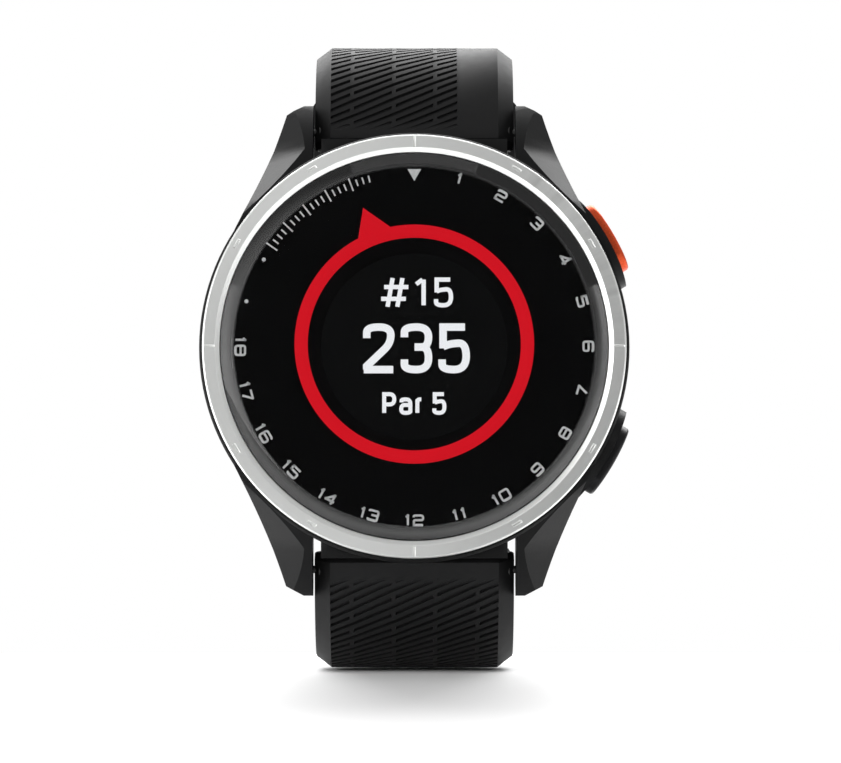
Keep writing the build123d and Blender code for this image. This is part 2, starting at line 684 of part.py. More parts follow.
def strap_end(band):
    """Adds the round end on the spring bar, its bore and the slot for the release lever."""
    barrel = rod(STRAP_BARREL_RADIUS, -STRAP_WIDTH / 2, STRAP_WIDTH / 2)
    barrel = fillet(barrel.edges(), 0.9)
    strap = band + Pos(0, BAR_OFFSET, BAR_HEIGHT) * barrel
    place = strap_place(UPPER_STRAP_RADIUS, 0)
    strap -= rod(BAR_RADIUS + PRESS_GAP, -STRAP_WIDTH, STRAP_WIDTH, BAR_OFFSET, BAR_HEIGHT)
    low, high = LEVER_SLOT
    return strap - place * block((low, high), (-0.75, 0.75), (-4, 0))


def upper_strap():
    """Short half: spring bar end, and a forked round end that carries the buckle pin."""
    strap = strap_end(strap_band(UPPER_STRAP_RADIUS, UPPER_STRAP_LENGTH))
    pin = strap_place(UPPER_STRAP_RADIUS, UPPER_STRAP_LENGTH)
    strap += pin * rod(BUCKLE_EYE, -STRAP_WIDTH / 2, STRAP_WIDTH / 2)
    strap -= pin * rod(BUCKLE_PIN_RADIUS + PRESS_GAP, -STRAP_WIDTH, STRAP_WIDTH)
    slot = TONGUE_WIDTH / 2 + 0.5
    return strap - pin * block((-slot, slot), (-5.5, 4), (-5, 5))


def lower_strap():
    """Long half, modelled pointing up: spring bar end, adjustment holes and a round tail."""
    strap = strap_end(strap_band(LOWER_STRAP_RADIUS, LOWER_STRAP_LENGTH))
    tail = strap_place(LOWER_STRAP_RADIUS, LOWER_STRAP_LENGTH - STRAP_WIDTH / 2)
    half = STRAP_WIDTH / 2
    square = Pos(0, half, 0) * Box(STRAP_WIDTH + 4, STRAP_WIDTH, 8)
    square -= disc(half, -6, 6)
    strap -= tail * square
    for index in range(HOLE_COUNT):
        distance = LOWER_STRAP_LENGTH - HOLE_END_MARGIN - index * HOLE_PITCH
        hole = extrude(SlotOverall(HOLE_LENGTH, HOLE_WIDTH, rotation=90), amount=8, both=True)
        strap -= strap_place(LOWER_STRAP_RADIUS, distance) * hole
    return strap


# ---------------------------------------------------------------- quick-release spring bars
def bar_tube():
    tube = rod(BAR_RADIUS, -BAR_END, BAR_END) - rod(BAR_BORE, -BAR_END - 1, BAR_END + 1)
    low, high = LEVER_SLOT
    return on_bar(tube - block((low + 0.2, high - 0.2), (-0.35, 0.35), (-2, 0)))


def on_bar(shape):
    """Puts a bar piece, modelled along X, on the spring bar axis with the strap's slope."""
    return strap_place(UPPER_STRAP_RADIUS, 0) * shape


def bar_fixed_tip():
    plug = rod(BAR_BORE, -BAR_END, -BAR_END + BAR_PLUG)
    return on_bar(plug + rod(BAR_TIP_RADIUS, -LUG_INNER - BAR_TIP_REACH, -BAR_END))


def bar_sliding_tip():
    """Sliding tip with its plunger in the tube and the release lever below."""
    plunger = rod(BAR_BORE - RUNNING, PLUNGER_START, BAR_END)
    tip = rod(BAR_TIP_RADIUS, BAR_END, LUG_INNER + BAR_TIP_REACH)
    lever = Pos(LEVER_X, 0, 0) * disc(LEVER_RADIUS, -2.2, 0)
    knob = Pos(LEVER_X, 0, 0) * disc(LEVER_RADIUS + 0.2, -2.6, -1.9)
    return on_bar(plunger + tip + lever + knob)


def bar_spring():
    start = -BAR_END + BAR_PLUG
    radius = BAR_BORE - BAR_SPRING_WIRE - 0.02
    spring = coil(radius, BAR_SPRING_WIRE, PLUNGER_START - start, BAR_SPRING_TURNS)
    return on_bar(Pos(start, 0, 0) * Rot(0, 90, 0) * spring)


# ---------------------------------------------------------------- buckle and keepers
def at_buckle(shape):
    return strap_place(UPPER_STRAP_RADIUS, UPPER_STRAP_LENGTH) * shape


def buckle_frame():
    """D-shaped frame with an eye at each end of the pin."""
    half = BUCKLE_WIDTH / 2
    side = STRAP_WIDTH / 2 + 0.3
    outline = RectangleRounded(BUCKLE_WIDTH, BUCKLE_REACH + BUCKLE_BAR, BUCKLE_CORNER)
    frame = Pos(0, BUCKLE_REACH / 2, 0) * extrude(outline, amount=BUCKLE_BAR / 2, both=True)
    inner_end = BUCKLE_REACH - BUCKLE_BAR / 2
    frame -= block((-side, side), (-5, inner_end), (-5, 5))
    front = [edge for edge in frame.edges().filter_by(Axis.X) if edge.center().Y > BUCKLE_REACH]
    frame = chamfer(front, 0.5)
    for sign in (-1, 1):
        low, high = sorted((sign * side, sign * half))
        frame += rod(BUCKLE_EYE, low, high)
    frame -= rod(BUCKLE_PIN_RADIUS + RUNNING, -half + 0.8, half - 0.8)
    notch = TONGUE_WIDTH / 2 + 0.25
    frame -= block((-notch, notch), (inner_end - 1, BUCKLE_REACH + 3), (TONGUE_SEAT, 5))
    return at_buckle(frame)


def buckle_pin():
    half = BUCKLE_WIDTH / 2 - 0.9
    return at_buckle(rod(BUCKLE_PIN_RADIUS, -half, half))


def buckle_tongue():
    """Tongue that turns on the pin and rests in the notch of the front bar."""
    low = TONGUE_SEAT + RUNNING
    high = low + TONGUE_THICKNESS
    shank = block((-TONGUE_WIDTH / 2, TONGUE_WIDTH / 2), (0, BUCKLE_REACH + 0.9), (low, high))
    shank = chamfer(shank.edges().group_by(Axis.Y)[-1].filter_by(Axis.X), 0.35)
    tongue = shank + rod(TONGUE_EYE, -TONGUE_WIDTH / 2, TONGUE_WIDTH / 2)
    return at_buckle(tongue - rod(BUCKLE_PIN_RADIUS + RUNNING, -5, 5))


def keeper(distance):
    """Loop round the strap with room for the second strap half on top."""
    inside = STRAP_WIDTH / 2 + KEEPER_GAP
    outside = inside + KEEPER_WALL
    low = -STRAP_THICKNESS / 2 - KEEPER_GAP
    high = 1.5 * STRAP_THICKNESS + 2 * KEEPER_GAP
    along = (-KEEPER_WIDTH / 2, KEEPER_WIDTH / 2)
    outer = block((-outside, outside), along, (low - KEEPER_WALL, high + KEEPER_WALL))
    outer = fillet(outer.edges().filter_by(Axis.Y), KEEPER_CORNER)
    inner = block((-inside, inside), (-KEEPER_WIDTH, KEEPER_WIDTH), (low, high))
    inner = fillet(inner.edges().filter_by(Axis.Y), 0.35)
    return strap_place(UPPER_STRAP_RADIUS, distance) * (outer - inner)


def fixed_keeper():
    """Keeper next to the buckle, with two pads that hold it on the strap's sides."""
    loop = keeper(FIXED_KEEPER_AT)
    half = STRAP_WIDTH / 2
    along = (-KEEPER_WIDTH / 2, KEEPER_WIDTH / 2)
    pad = block((half, half + KEEPER_GAP + 0.2), along, (-1.1, 0.2))
    pads = [pad, mirror(pad, Plane.YZ)]
    return loop + [strap_place(UPPER_STRAP_RADIUS, FIXED_KEEPER_AT) * piece for piece in pads]


# ---------------------------------------------------------------- export
def export(name, shape, flip=False):
    """Writes one node, turned upright; flip mirrors an upper piece to the lower side."""
    pieces = shape if isinstance(shape, list) else [shape]
    solids = []
    for piece in pieces:
        piece = mirror(piece, Plane.XZ) if flip else piece
        solids += (Rot(90, 0, 0) * piece).solids()
    result = solids[0] if len(solids) == 1 else Compound(children=solids)
    export_step(result, f"parts/{name}.step")


def export_case():
    export("case_body", case_body())
    export("case_back", case_back())
    export("case_screws", case_screws())
    export("back_gasket", back_gasket())
    export("bezel_ring", bezel_ring())
    export("lens", lens())
    export("lens_gasket", lens_gasket())
    export("dial_ring", dial_ring())


def export_inside():
    export("display_panel", display_panel())
    export("display_frame", display_frame())
    export("display_flex", display_flex())
    export("inner_frame", inner_frame())
    export("main_board", main_board())
    export("board_screws", board_screws())
    export("processor_shield", shield_can(-4.5, 2.0, 9.0, 9.0))
    export("radio_shield", shield_can(5.5, 2.5, 7.0, 6.0))
    export("board_chips", board_chips())
    export("gnss_antenna", gnss_antenna())
    export("bluetooth_antenna", bluetooth_antenna())
    export("battery", battery())
    export("battery_tape", battery_tape())
    export("battery_lead", battery_lead())
    export("vibration_motor_case", motor_case())
    export("vibration_motor_rotor", motor_rotor())
    export("charging_block", charging_block())
    export("charging_contacts", charging_contacts())
    export("charging_flex", charging_flex())
    export("switch_flex", switch_flex())


def export_buttons():
    for side, angle in (("upper", BUTTON_ANGLE), ("lower", -BUTTON_ANGLE)):
        export(f"{side}_button_cap", button_cap(angle))
        export(f"{side}_button_stem", button_stem(angle))
        export(f"{side}_button_clip", button_clip(angle))
        export(f"{side}_button_seal", button_seal(angle))
        export(f"{side}_button_spring", button_spring(angle))
        export(f"{side}_button_switch", button_switch(angle))


def export_straps():
    export("upper_strap", upper_strap())
    export("lower_strap", lower_strap(), flip=True)
    for side, flip in (("upper", False), ("lower", True)):
        export(f"{side}_bar_tube", bar_tube(), flip)
        export(f"{side}_bar_fixed_tip", bar_fixed_tip(), flip)
        export(f"{side}_bar_sliding_tip", bar_sliding_tip(), flip)
        export(f"{side}_bar_spring", bar_spring(), flip)
    export("buckle_pin", buckle_pin())
    export("buckle_frame", buckle_frame())
    export("buckle_tongue", buckle_tongue())
    export("fixed_keeper", fixed_keeper())
    export("sliding_keeper", keeper(SLIDING_KEEPER_AT))


os.makedirs("parts", exist_ok=True)
export_case()
export_inside()
export_buttons()
export_straps()
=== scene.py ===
import bmesh
import bpy
import json
from math import asin, cos, pi, radians, sin, sqrt
from mathutils import Matrix, Vector


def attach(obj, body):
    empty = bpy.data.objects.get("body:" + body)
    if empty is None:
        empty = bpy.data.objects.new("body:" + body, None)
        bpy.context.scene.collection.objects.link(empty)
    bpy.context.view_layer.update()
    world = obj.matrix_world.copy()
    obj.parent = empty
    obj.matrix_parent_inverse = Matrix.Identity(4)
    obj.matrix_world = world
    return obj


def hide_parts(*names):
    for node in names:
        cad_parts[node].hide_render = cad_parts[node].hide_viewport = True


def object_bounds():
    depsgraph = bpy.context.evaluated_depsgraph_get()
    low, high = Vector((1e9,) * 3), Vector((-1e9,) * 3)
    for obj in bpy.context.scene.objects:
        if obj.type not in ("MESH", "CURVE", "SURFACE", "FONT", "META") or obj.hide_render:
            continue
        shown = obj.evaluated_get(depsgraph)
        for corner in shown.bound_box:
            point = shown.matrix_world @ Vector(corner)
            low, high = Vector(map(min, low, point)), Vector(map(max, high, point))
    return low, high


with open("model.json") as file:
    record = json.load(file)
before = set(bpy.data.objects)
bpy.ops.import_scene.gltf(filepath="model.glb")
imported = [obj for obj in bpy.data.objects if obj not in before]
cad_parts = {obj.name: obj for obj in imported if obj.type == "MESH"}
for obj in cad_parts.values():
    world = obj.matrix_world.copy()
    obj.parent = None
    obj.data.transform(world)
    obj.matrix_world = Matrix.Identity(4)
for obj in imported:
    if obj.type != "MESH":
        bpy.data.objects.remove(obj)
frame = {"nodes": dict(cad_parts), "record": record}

# Golf GPS watch. Pieces are drawn in the dial frame in millimetres (X to 3 o'clock, Y to
# 12 o'clock, Z out of the dial, Z = 0 on the case back) and laid into the row frame by DIAL.
cad_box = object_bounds()
MM = 0.001
DIAL = Matrix.Rotation(pi / 2, 4, "X") @ Matrix.Scale(MM, 4)
FLIP = Matrix.Scale(-1, 4, (0, 1, 0))

# ---------------------------------------------------------------- sizes shared with the frame
BEZEL_SEAT = 9.0
BEZEL_TOP = 11.1
BEZEL_INNER = 19.7
BEZEL_OUTER = 21.5
BEZEL_INNER_BEVEL = 0.5
BEZEL_OUTER_BEVEL = 0.14
BEZEL_FALL = 0.06               # the flat leans outwards a little
LENS_RADIUS = 19.62
LENS_FLAT = 17.87
LENS_BOTTOM = 10.0
LENS_SHOULDER = 10.9
LENS_TOP = 11.4
PANEL_TOP = 9.75
DIAL_TOP = 9.955

STRAP_WIDTH = 20.5
STRAP_THICKNESS = 3.0
STRAP_BEVEL_WIDTH = 1.6
STRAP_BEVEL_HEIGHT = 1.2
BARREL_RADIUS = 1.9
EYE_RADIUS = 1.7
BAR_OFFSET = 22.5
BAR_HEIGHT = 2.9
SHOULDER_START = radians(20)
SHOULDER_LEAD = 2.0
SHOULDER_RADIUS = 10.25
UPPER_LENGTH = 76.0
UPPER_RADIUS = 120.0
LOWER_LENGTH = 117.0
LOWER_RADIUS = 220.0
HOLE_COUNT = 12
HOLE_PITCH = 5.6
HOLE_FIRST = LOWER_LENGTH - 14.0
HOLE_LENGTH = 3.4
HOLE_WIDTH = 2.4


# ---------------------------------------------------------------- node material kit
class Finish:
    """A material built from nodes, with the few patterns that this watch needs."""

    def __init__(self, name, colour, rough, metal=0.0):
        self.material = bpy.data.materials.new(name)
        self.material.use_nodes = True
        self.tree = self.material.node_tree
        self.shader = self.tree.nodes["Principled BSDF"]
        self.set("Base Color", (*colour, 1.0))
        self.set("Roughness", rough)
        self.set("Metallic", metal)

    def set(self, socket, value):
        self.shader.inputs[socket].default_value = value
        return self

    def node(self, kind, **settings):
        made = self.tree.nodes.new(kind)
        for key, value in settings.items():
            setattr(made, key, value)
        return made

    def join(self, output, target):
        self.tree.links.new(output, target)

    def place(self, stretch=(1, 1, 1)):
        """Object coordinates, stretched."""
        where = self.node("ShaderNodeTexCoord")
        mapping = self.node("ShaderNodeMapping")
        mapping.inputs["Scale"].default_value = stretch
        self.join(where.outputs["Object"], mapping.inputs["Vector"])
        return mapping.outputs["Vector"]

    def noise(self, scale, detail=3.0, vector=None, rough=0.5):
        texture = self.node("ShaderNodeTexNoise")
        texture.inputs["Scale"].default_value = scale
        texture.inputs["Detail"].default_value = detail
        texture.inputs["Roughness"].default_value = rough
        self.join(vector or self.place(), texture.inputs["Vector"])
        return texture.outputs["Fac"]

    def cells(self, scale, vector=None):
        texture = self.node("ShaderNodeTexVoronoi")
        texture.inputs["Scale"].default_value = scale
        self.join(vector or self.place(), texture.inputs["Vector"])
        return texture.outputs["Distance"]

    def span(self, factor, low, high, start=0.0, end=1.0):
        """Maps factor from start..end to low..high."""
        ranged = self.node("ShaderNodeMapRange")
        for key, value in (("From Min", start), ("From Max", end), ("To Min", low), ("To Max", high)):
            ranged.inputs[key].default_value = value
        self.join(factor, ranged.inputs["Value"])
        return ranged.outputs["Result"]

    def shade(self, factor, dark, light, start=0.3, end=0.7):
        """Colour between two tones by a factor."""
        ramp = self.node("ShaderNodeValToRGB")
        ramp.color_ramp.elements[0].position = start
        ramp.color_ramp.elements[1].position = end
        ramp.color_ramp.elements[0].color = (*dark, 1)
        ramp.color_ramp.elements[1].color = (*light, 1)
        self.join(factor, ramp.inputs["Fac"])
        return ramp.outputs["Color"]

    def colour(self, output):
        self.join(output, self.shader.inputs["Base Color"])
        return self

    def rough(self, output):
        self.join(output, self.shader.inputs["Roughness"])
        return self

    def bump(self, *heights, distance):
        """Bump from (height output, strength) pairs, one after another."""
        normal = None
        for height, strength in heights:
            bump = self.node("ShaderNodeBump")
            bump.inputs["Strength"].default_value = strength
            bump.inputs["Distance"].default_value = distance
            self.join(height, bump.inputs["Height"])
            if normal:
                self.join(normal, bump.inputs["Normal"])
            normal = bump.outputs["Normal"]
        self.join(normal, self.shader.inputs["Normal"])
        return self


def tone(colour, factor):
    return tuple(min(1.0, part * factor) for part in colour)


def moulded_plastic(name, colour, rough, grain=4500):
    """Fine spark-eroded texture over a slow mottling."""
    finish = Finish(name, colour, rough).set("Specular IOR Level", 0.17)
    slow = finish.noise(160, 4)
    finish.colour(finish.shade(slow, tone(colour, 0.85), tone(colour, 1.2)))
    finish.rough(finish.span(slow, rough - 0.05, rough + 0.06))
    return finish.bump((finish.noise(grain, 3), 0.35), (finish.cells(grain * 0.5), 0.15), distance=0.00002)


def silicone(name, colour):
    """Moulded silicone: matte skin with a faint bloom and pin-prick grain."""
    finish = Finish(name, colour, 0.58)
    slow = finish.noise(110, 5)
    finish.colour(finish.shade(slow, tone(colour, 0.85), tone(colour, 1.25)))
    finish.rough(finish.span(finish.noise(900, 4), 0.5, 0.64))
    finish.set("Sheen Weight", 0.02).set("Sheen Roughness", 0.5)
    finish.set("Specular IOR Level", 0.22)
    return finish.bump((finish.noise(5200, 2), 0.3), (slow, 0.1), distance=0.000015)


def brushed_metal(name, colour, rough, stretch):
    """Metal with straight brush lines along the short direction of stretch."""
    finish = Finish(name, colour, rough, 1.0)
    lines = finish.noise(1200, 4, finish.place(stretch), 0.6)
    finish.colour(finish.shade(lines, tone(colour, 0.88), tone(colour, 1.06)))
    finish.rough(finish.span(lines, rough - 0.07, rough + 0.09))
    return finish.bump((lines, 0.25), distance=0.00001)


def turned_metal(name):
    """Bezel metal: brushed round the dial, so the lines follow the circle."""
    colour = (0.82, 0.83, 0.815)
    finish = Finish(name, colour, 0.3, 1.0)
    split = finish.node("ShaderNodeSeparateXYZ")
    finish.join(finish.place(), split.inputs["Vector"])
    angle = finish.node("ShaderNodeMath", operation="ARCTAN2")
    finish.join(split.outputs["Z"], angle.inputs[0])
    finish.join(split.outputs["X"], angle.inputs[1])
    flat = finish.node("ShaderNodeCombineXYZ")
    finish.join(split.outputs["X"], flat.inputs["X"])
    finish.join(split.outputs["Z"], flat.inputs["Y"])
    reach = finish.node("ShaderNodeVectorMath", operation="LENGTH")
    finish.join(flat.outputs["Vector"], reach.inputs[0])
    polar = finish.node("ShaderNodeCombineXYZ")
    finish.join(finish.span(reach.outputs["Value"], 0, 26, 0, 0.001), polar.inputs["X"])
    finish.join(finish.span(angle.outputs["Value"], 0, 9, 0, 1), polar.inputs["Y"])
    finish.join(split.outputs["Y"], polar.inputs["Z"])
    lines = finish.noise(1.0, 4, polar.outputs["Vector"], 0.65)
    finish.colour(finish.shade(lines, tone(colour, 0.86), tone(colour, 1.08)))
    finish.rough(finish.span(lines, 0.24, 0.38))
    finish.set("Anisotropic", 0.55)
    tangent = finish.node("ShaderNodeTangent", direction_type="RADIAL", axis="Y")
    finish.join(tangent.outputs["Tangent"], finish.shader.inputs["Tangent"])
    return finish.bump((lines, 0.35), distance=0.000006)


def anodised(name, colour, rough):
    """Bead-blasted, dyed aluminium."""
    finish = Finish(name, colour, rough, 0.75)
    grain = finish.noise(6000, 3)
    finish.colour(finish.shade(grain, tone(colour, 0.8), tone(colour, 1.15)))
    finish.rough(finish.span(grain, rough - 0.05, rough + 0.08))
    return finish.bump((grain, 0.3), distance=0.00001)


def glass(name):
    finish = Finish(name, (1, 1, 1), 0.0)
    finish.set("Transmission Weight", 1.0).set("IOR", 1.5)
    smear = finish.noise(45, 3)
    return finish.rough(finish.span(smear, 0.0, 0.012))


def gloss_black(name, colour):
    finish = Finish(name, colour, 0.22).set("Specular IOR Level", 0.12)
    return finish.rough(finish.span(finish.noise(300, 3), 0.18, 0.28))


def printed(name, colour, glow):
    """Pad-print ink with a slight unevenness and a faint painted glow: the ink emits light though it is no
    lamp.
    """
    finish = Finish(name, colour, 0.5)
    ink = finish.noise(2500, 3)
    tint = finish.shade(ink, tone(colour, 0.85), tone(colour, 1.08))
    finish.colour(tint)
    # painted light: the print glows in its own colour, standing in for the light that reaches it through the
    # glass
    finish.join(tint, finish.shader.inputs["Emission Color"])
    finish.set("Emission Strength", glow)
    return finish


def lit(name, colour, glow):
    """Lit part of the display: an even light with a fine grid."""
    finish = Finish(name, (0.0, 0.0, 0.0), 0.4).set("Specular IOR Level", 0.05)
    grid = finish.cells(14000)
    glow_tint = finish.shade(grid, tone(colour, 0.92), colour, 0.0, 0.6)
    finish.join(glow_tint, finish.shader.inputs["Emission Color"])
    finish.set("Emission Strength", glow)
    return finish


def speckled(name, colour, rough, metal=0.0, scale=900):
    """General finish for small inner pieces."""
    finish = Finish(name, colour, rough, metal)
    grain = finish.noise(scale, 4)
    finish.colour(finish.shade(grain, tone(colour, 0.8), tone(colour, 1.2)))
    finish.rough(finish.span(grain, rough - 0.08, rough + 0.08))
    return finish.bump((grain, 0.2), distance=0.00002)


FINISHES = {
    "case_polymer": moulded_plastic("case_polymer", (0.003, 0.0031, 0.0033), 0.46),
    "back_polymer": moulded_plastic("back_polymer", (0.02, 0.02, 0.022), 0.5, 3500),
    "screw_steel": brushed_metal("screw_steel", (0.5, 0.5, 0.5), 0.32, (1, 1, 4)),
    "seal_rubber": silicone("seal_rubber", (0.018, 0.018, 0.018)),
    "bezel_metal": turned_metal("bezel_metal"),
    "lens_glass": glass("lens_glass"),
    "adhesive": speckled("adhesive", (0.012, 0.012, 0.012), 0.7),
    "dial_black": gloss_black("dial_black", (0.0015, 0.0015, 0.0017)),
    "display": gloss_black("display", (0.001, 0.001, 0.0012)),
    "frame_steel": brushed_metal("frame_steel", (0.55, 0.55, 0.54), 0.38, (1, 1, 6)),
    "flex_amber": speckled("flex_amber", (0.5, 0.2, 0.03), 0.45, 0.0, 1500),
    "frame_polymer": moulded_plastic("frame_polymer", (0.03, 0.03, 0.034), 0.55),
    "board_green": speckled("board_green", (0.008, 0.09, 0.04), 0.35, 0.0, 700),
    "shield_tin": brushed_metal("shield_tin", (0.62, 0.62, 0.6), 0.35, (1, 1, 3)),
    "chip_black": speckled("chip_black", (0.015, 0.015, 0.016), 0.6),
    "ceramic": speckled("ceramic", (0.62, 0.58, 0.5), 0.6),
    "battery_foil": brushed_metal("battery_foil", (0.6, 0.61, 0.63), 0.4, (2, 1, 1)),
    "tape_black": speckled("tape_black", (0.02, 0.02, 0.02), 0.85, 0.0, 2500),
    "motor_steel": brushed_metal("motor_steel", (0.6, 0.6, 0.57), 0.3, (1, 4, 1)),
    "rotor_tungsten": speckled("rotor_tungsten", (0.35, 0.33, 0.3), 0.5, 0.9),
    "charger_polymer": moulded_plastic("charger_polymer", (0.014, 0.014, 0.016), 0.5),
    "contact_gold": speckled("contact_gold", (0.75, 0.5, 0.16), 0.2, 1.0, 3000),
    "button_orange": anodised("button_orange", (0.62, 0.075, 0.02), 0.36),
    "button_black": anodised("button_black", (0.012, 0.012, 0.013), 0.38),
    "strap_silicone": silicone("strap_silicone", (0.0055, 0.0055, 0.0058)),
    "buckle_steel": brushed_metal("buckle_steel", (0.09, 0.09, 0.095), 0.36, (8, 1, 1)),
    "spring_steel": speckled("spring_steel", (0.6, 0.6, 0.58), 0.25, 1.0, 2000),
    "switch_polymer": speckled("switch_polymer", (0.06, 0.06, 0.062), 0.5),
    # the bars' near-black colour is painted shade: it keeps them as dark as the shaded slots behind the lugs
    "bar_steel": brushed_metal("bar_steel", (0.05, 0.05, 0.05), 0.4, (1, 6, 6)),
}


# ---------------------------------------------------------------- mesh kit
def add_piece(name, mesh, slot, body, nodes=(), crease=32):
    """Makes an object of a mesh in the row frame, ties it to its body, gives it its slot's finish and hides
    the nodes it stands in for.
    """
    piece = bpy.data.objects.new(name, mesh)
    bpy.context.scene.collection.objects.link(piece)
    mesh.materials.clear()
    mesh.materials.append(FINISHES[slot].material)
    mesh.shade_smooth()
    mesh.set_sharp_from_angle(angle=radians(crease))
    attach(piece, body)
    if nodes:
        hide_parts(*nodes)
    return piece


def to_mesh(bm, name, place=DIAL):
    """Lays a dial-frame bmesh into the row frame."""
    bm.transform(place)
    bmesh.ops.recalc_face_normals(bm, faces=bm.faces)
    mesh = bpy.data.meshes.new(name)
    bm.to_mesh(mesh)
    bm.free()
    return mesh


def body_of_node(node):
    for body, nodes in frame["record"]["behaviour"]["bodies"].items():
        if node in nodes:
            return body


def slot_of_node(node):
    return next(part["material_slot"] for part in frame["record"]["subparts"] if part["node"] == node)


def smooth_copy(node, name, crease=32, rounding=0.0):
    """The node's own shape with welded corners and clean shading, optionally with softened edges."""
    mesh = frame["nodes"][node].data.copy()
    bm = bmesh.new()
    bm.from_mesh(mesh)
    bmesh.ops.remove_doubles(bm, verts=bm.verts, dist=2e-6)
    bmesh.ops.dissolve_degenerate(bm, edges=bm.edges, dist=1e-6)
    bm.to_mesh(mesh)
    bm.free()
    piece = add_piece(name, mesh, slot_of_node(node), body_of_node(node), (node,), crease)
    if rounding:
        soften(piece, rounding, crease)
    return piece


def soften(piece, width, crease):
    """Rounds the piece's sharp edges a little, so that they catch the light."""
    bevel = piece.modifiers.new("edge_rounding", "BEVEL")
    bevel.width = width * MM
    bevel.segments = 2
    bevel.limit_method = "ANGLE"
    bevel.angle_limit = radians(crease)
    bevel.use_clamp_overlap = True
    weighted = piece.modifiers.new("even_shading", "WEIGHTED_NORMAL")
    weighted.keep_sharp = True


def turned_piece(points, steps=180):
    """Spins (radius, height) points round the dial axis."""
    bm = bmesh.new()
    verts = [bm.verts.new((radius, 0, height)) for radius, height in points]
    edges = [bm.edges.new(pair) for pair in zip(verts, verts[1:])]
    geom = verts + edges
    bmesh.ops.spin(bm, geom=geom, cent=(0, 0, 0), axis=(0, 0, 1), angle=2 * pi, steps=steps, use_merge=True)
    bmesh.ops.remove_doubles(bm, verts=bm.verts, dist=1e-4)
    return bm


# ---------------------------------------------------------------- lens
def lens_profile():
    """Flat centre, tangent round margin and a short straight edge."""
    drop = LENS_TOP - LENS_SHOULDER
    width = LENS_RADIUS - LENS_FLAT
    radius = (width ** 2 + drop ** 2) / (2 * drop)
    sweep = asin(width / radius)
    steps = 12
    curve = [
        (LENS_FLAT + radius * sin(sweep * i / steps), LENS_TOP - radius * (1 - cos(sweep * i / steps)))
        for i in range(steps + 1)
    ]
    return [(0, LENS_TOP), *curve, (LENS_RADIUS, LENS_BOTTOM), (0, LENS_BOTTOM)]


lens_mesh = to_mesh(turned_piece(lens_profile(), 240), "lens_crystal")
add_piece("lens_crystal", lens_mesh, "lens_glass", "head", ("lens",), crease=40)


# ---------------------------------------------------------------- bezel
def cut_box(bm, faces, centre, turn, size):
    """Cuts the outline of a turned rectangle into flat faces and gives back the faces inside it."""
    along = Vector((cos(turn), sin(turn), 0))
    across = Vector((-sin(turn), cos(turn), 0))
    for direction, half in ((along, size[0] / 2), (across, size[1] / 2)):
        for side in (-1, 1):
            geom = list({item for face in faces for item in (*face.verts, *face.edges, face)})
            where = centre + direction * half * side
            result = bmesh.ops.bisect_plane(bm, geom=geom, dist=1e-5, plane_co=where, plane_no=direction)
            faces = [item for item in result["geom"] if isinstance(item, bmesh.types.BMFace)]
    inside = []
    for face in faces:
        offset = face.calc_center_median() - centre
        if abs(offset.dot(along)) < size[0] / 2 and abs(offset.dot(across)) < size[1] / 2:
            inside.append(face)
    return inside


def sink(bm, faces, depth):
    """Recesses a group of faces, with short sloping walls."""
    bmesh.ops.inset_region(bm, faces=faces, thickness=0.03, depth=-depth, use_even_offset=True)


def bezel_bm():
    low = BEZEL_TOP - BEZEL_INNER_BEVEL * 0.6
    bm = turned_piece([
        (BEZEL_INNER, BEZEL_SEAT),
        (BEZEL_INNER, low),
        (BEZEL_INNER + BEZEL_INNER_BEVEL, BEZEL_TOP),
        (BEZEL_OUTER - BEZEL_OUTER_BEVEL, BEZEL_TOP - BEZEL_FALL),
        (BEZEL_OUTER, BEZEL_TOP - BEZEL_FALL - BEZEL_OUTER_BEVEL),
        (BEZEL_OUTER, BEZEL_SEAT),
        (BEZEL_INNER, BEZEL_SEAT),
    ], 240)
    middle = (BEZEL_INNER + BEZEL_INNER_BEVEL + BEZEL_OUTER - BEZEL_OUTER_BEVEL) / 2
    for hour in range(12):
        turn = radians(30 * hour)
        centre = Vector((middle * cos(turn), middle * sin(turn), BEZEL_TOP))
        near = [
            face for face in bm.faces
            if abs(face.calc_center_median().z - BEZEL_TOP) < BEZEL_FALL
            and (face.calc_center_median() - centre).length < 2.5
        ]
        size = (1.04, 0.2) if hour % 3 == 0 else (0.28, 1.0)
        sink(bm, cut_box(bm, near, centre, turn, size), 0.12)
    return bm


bezel_mesh = to_mesh(bezel_bm(), "bezel_band")
bezel = add_piece("bezel_band", bezel_mesh, "bezel_metal", "head", ("bezel_ring",), crease=20)
soften(bezel, 0.035, 20)


# ---------------------------------------------------------------- case, buttons, buckle
smooth_copy("case_body", "case_shell", 28, rounding=0.1)
smooth_copy("case_back", "back_plate", 30)
smooth_copy("upper_button_cap", "start_button", 30)
smooth_copy("lower_button_cap", "back_button", 30)
smooth_copy("buckle_frame", "buckle_loop", 30)
smooth_copy("buckle_tongue", "buckle_prong", 30)
smooth_copy("fixed_keeper", "moulded_keeper", 30)
smooth_copy("sliding_keeper", "loose_keeper_loop", 30)


# ---------------------------------------------------------------- strap halves
def strap_place(long_radius, distance):
    """Matrix on the strap path at a distance from the bar: X across, Y along, Z outwards."""
    fall = SHOULDER_START
    y = BAR_OFFSET
    z = BAR_HEIGHT
    lead = min(distance, SHOULDER_LEAD)
    y += lead * cos(fall)
    z -= lead * sin(fall)
    turns = ((SHOULDER_RADIUS, SHOULDER_RADIUS * (pi / 2 - fall)), (long_radius, 1e9))
    left = distance - SHOULDER_LEAD
    for radius, length in turns:
        run = max(0.0, min(left, length))
        turn = run / radius
        y += radius * (sin(fall + turn) - sin(fall))
        z += radius * (cos(fall + turn) - cos(fall))
        fall += turn
        left -= run
    along = Vector((0, cos(fall), -sin(fall)))
    out = Vector((0, sin(fall), cos(fall)))
    place = Matrix((Vector((1, 0, 0)), along, out)).transposed().to_4x4()
    place.translation = (0, y, z)
    return place


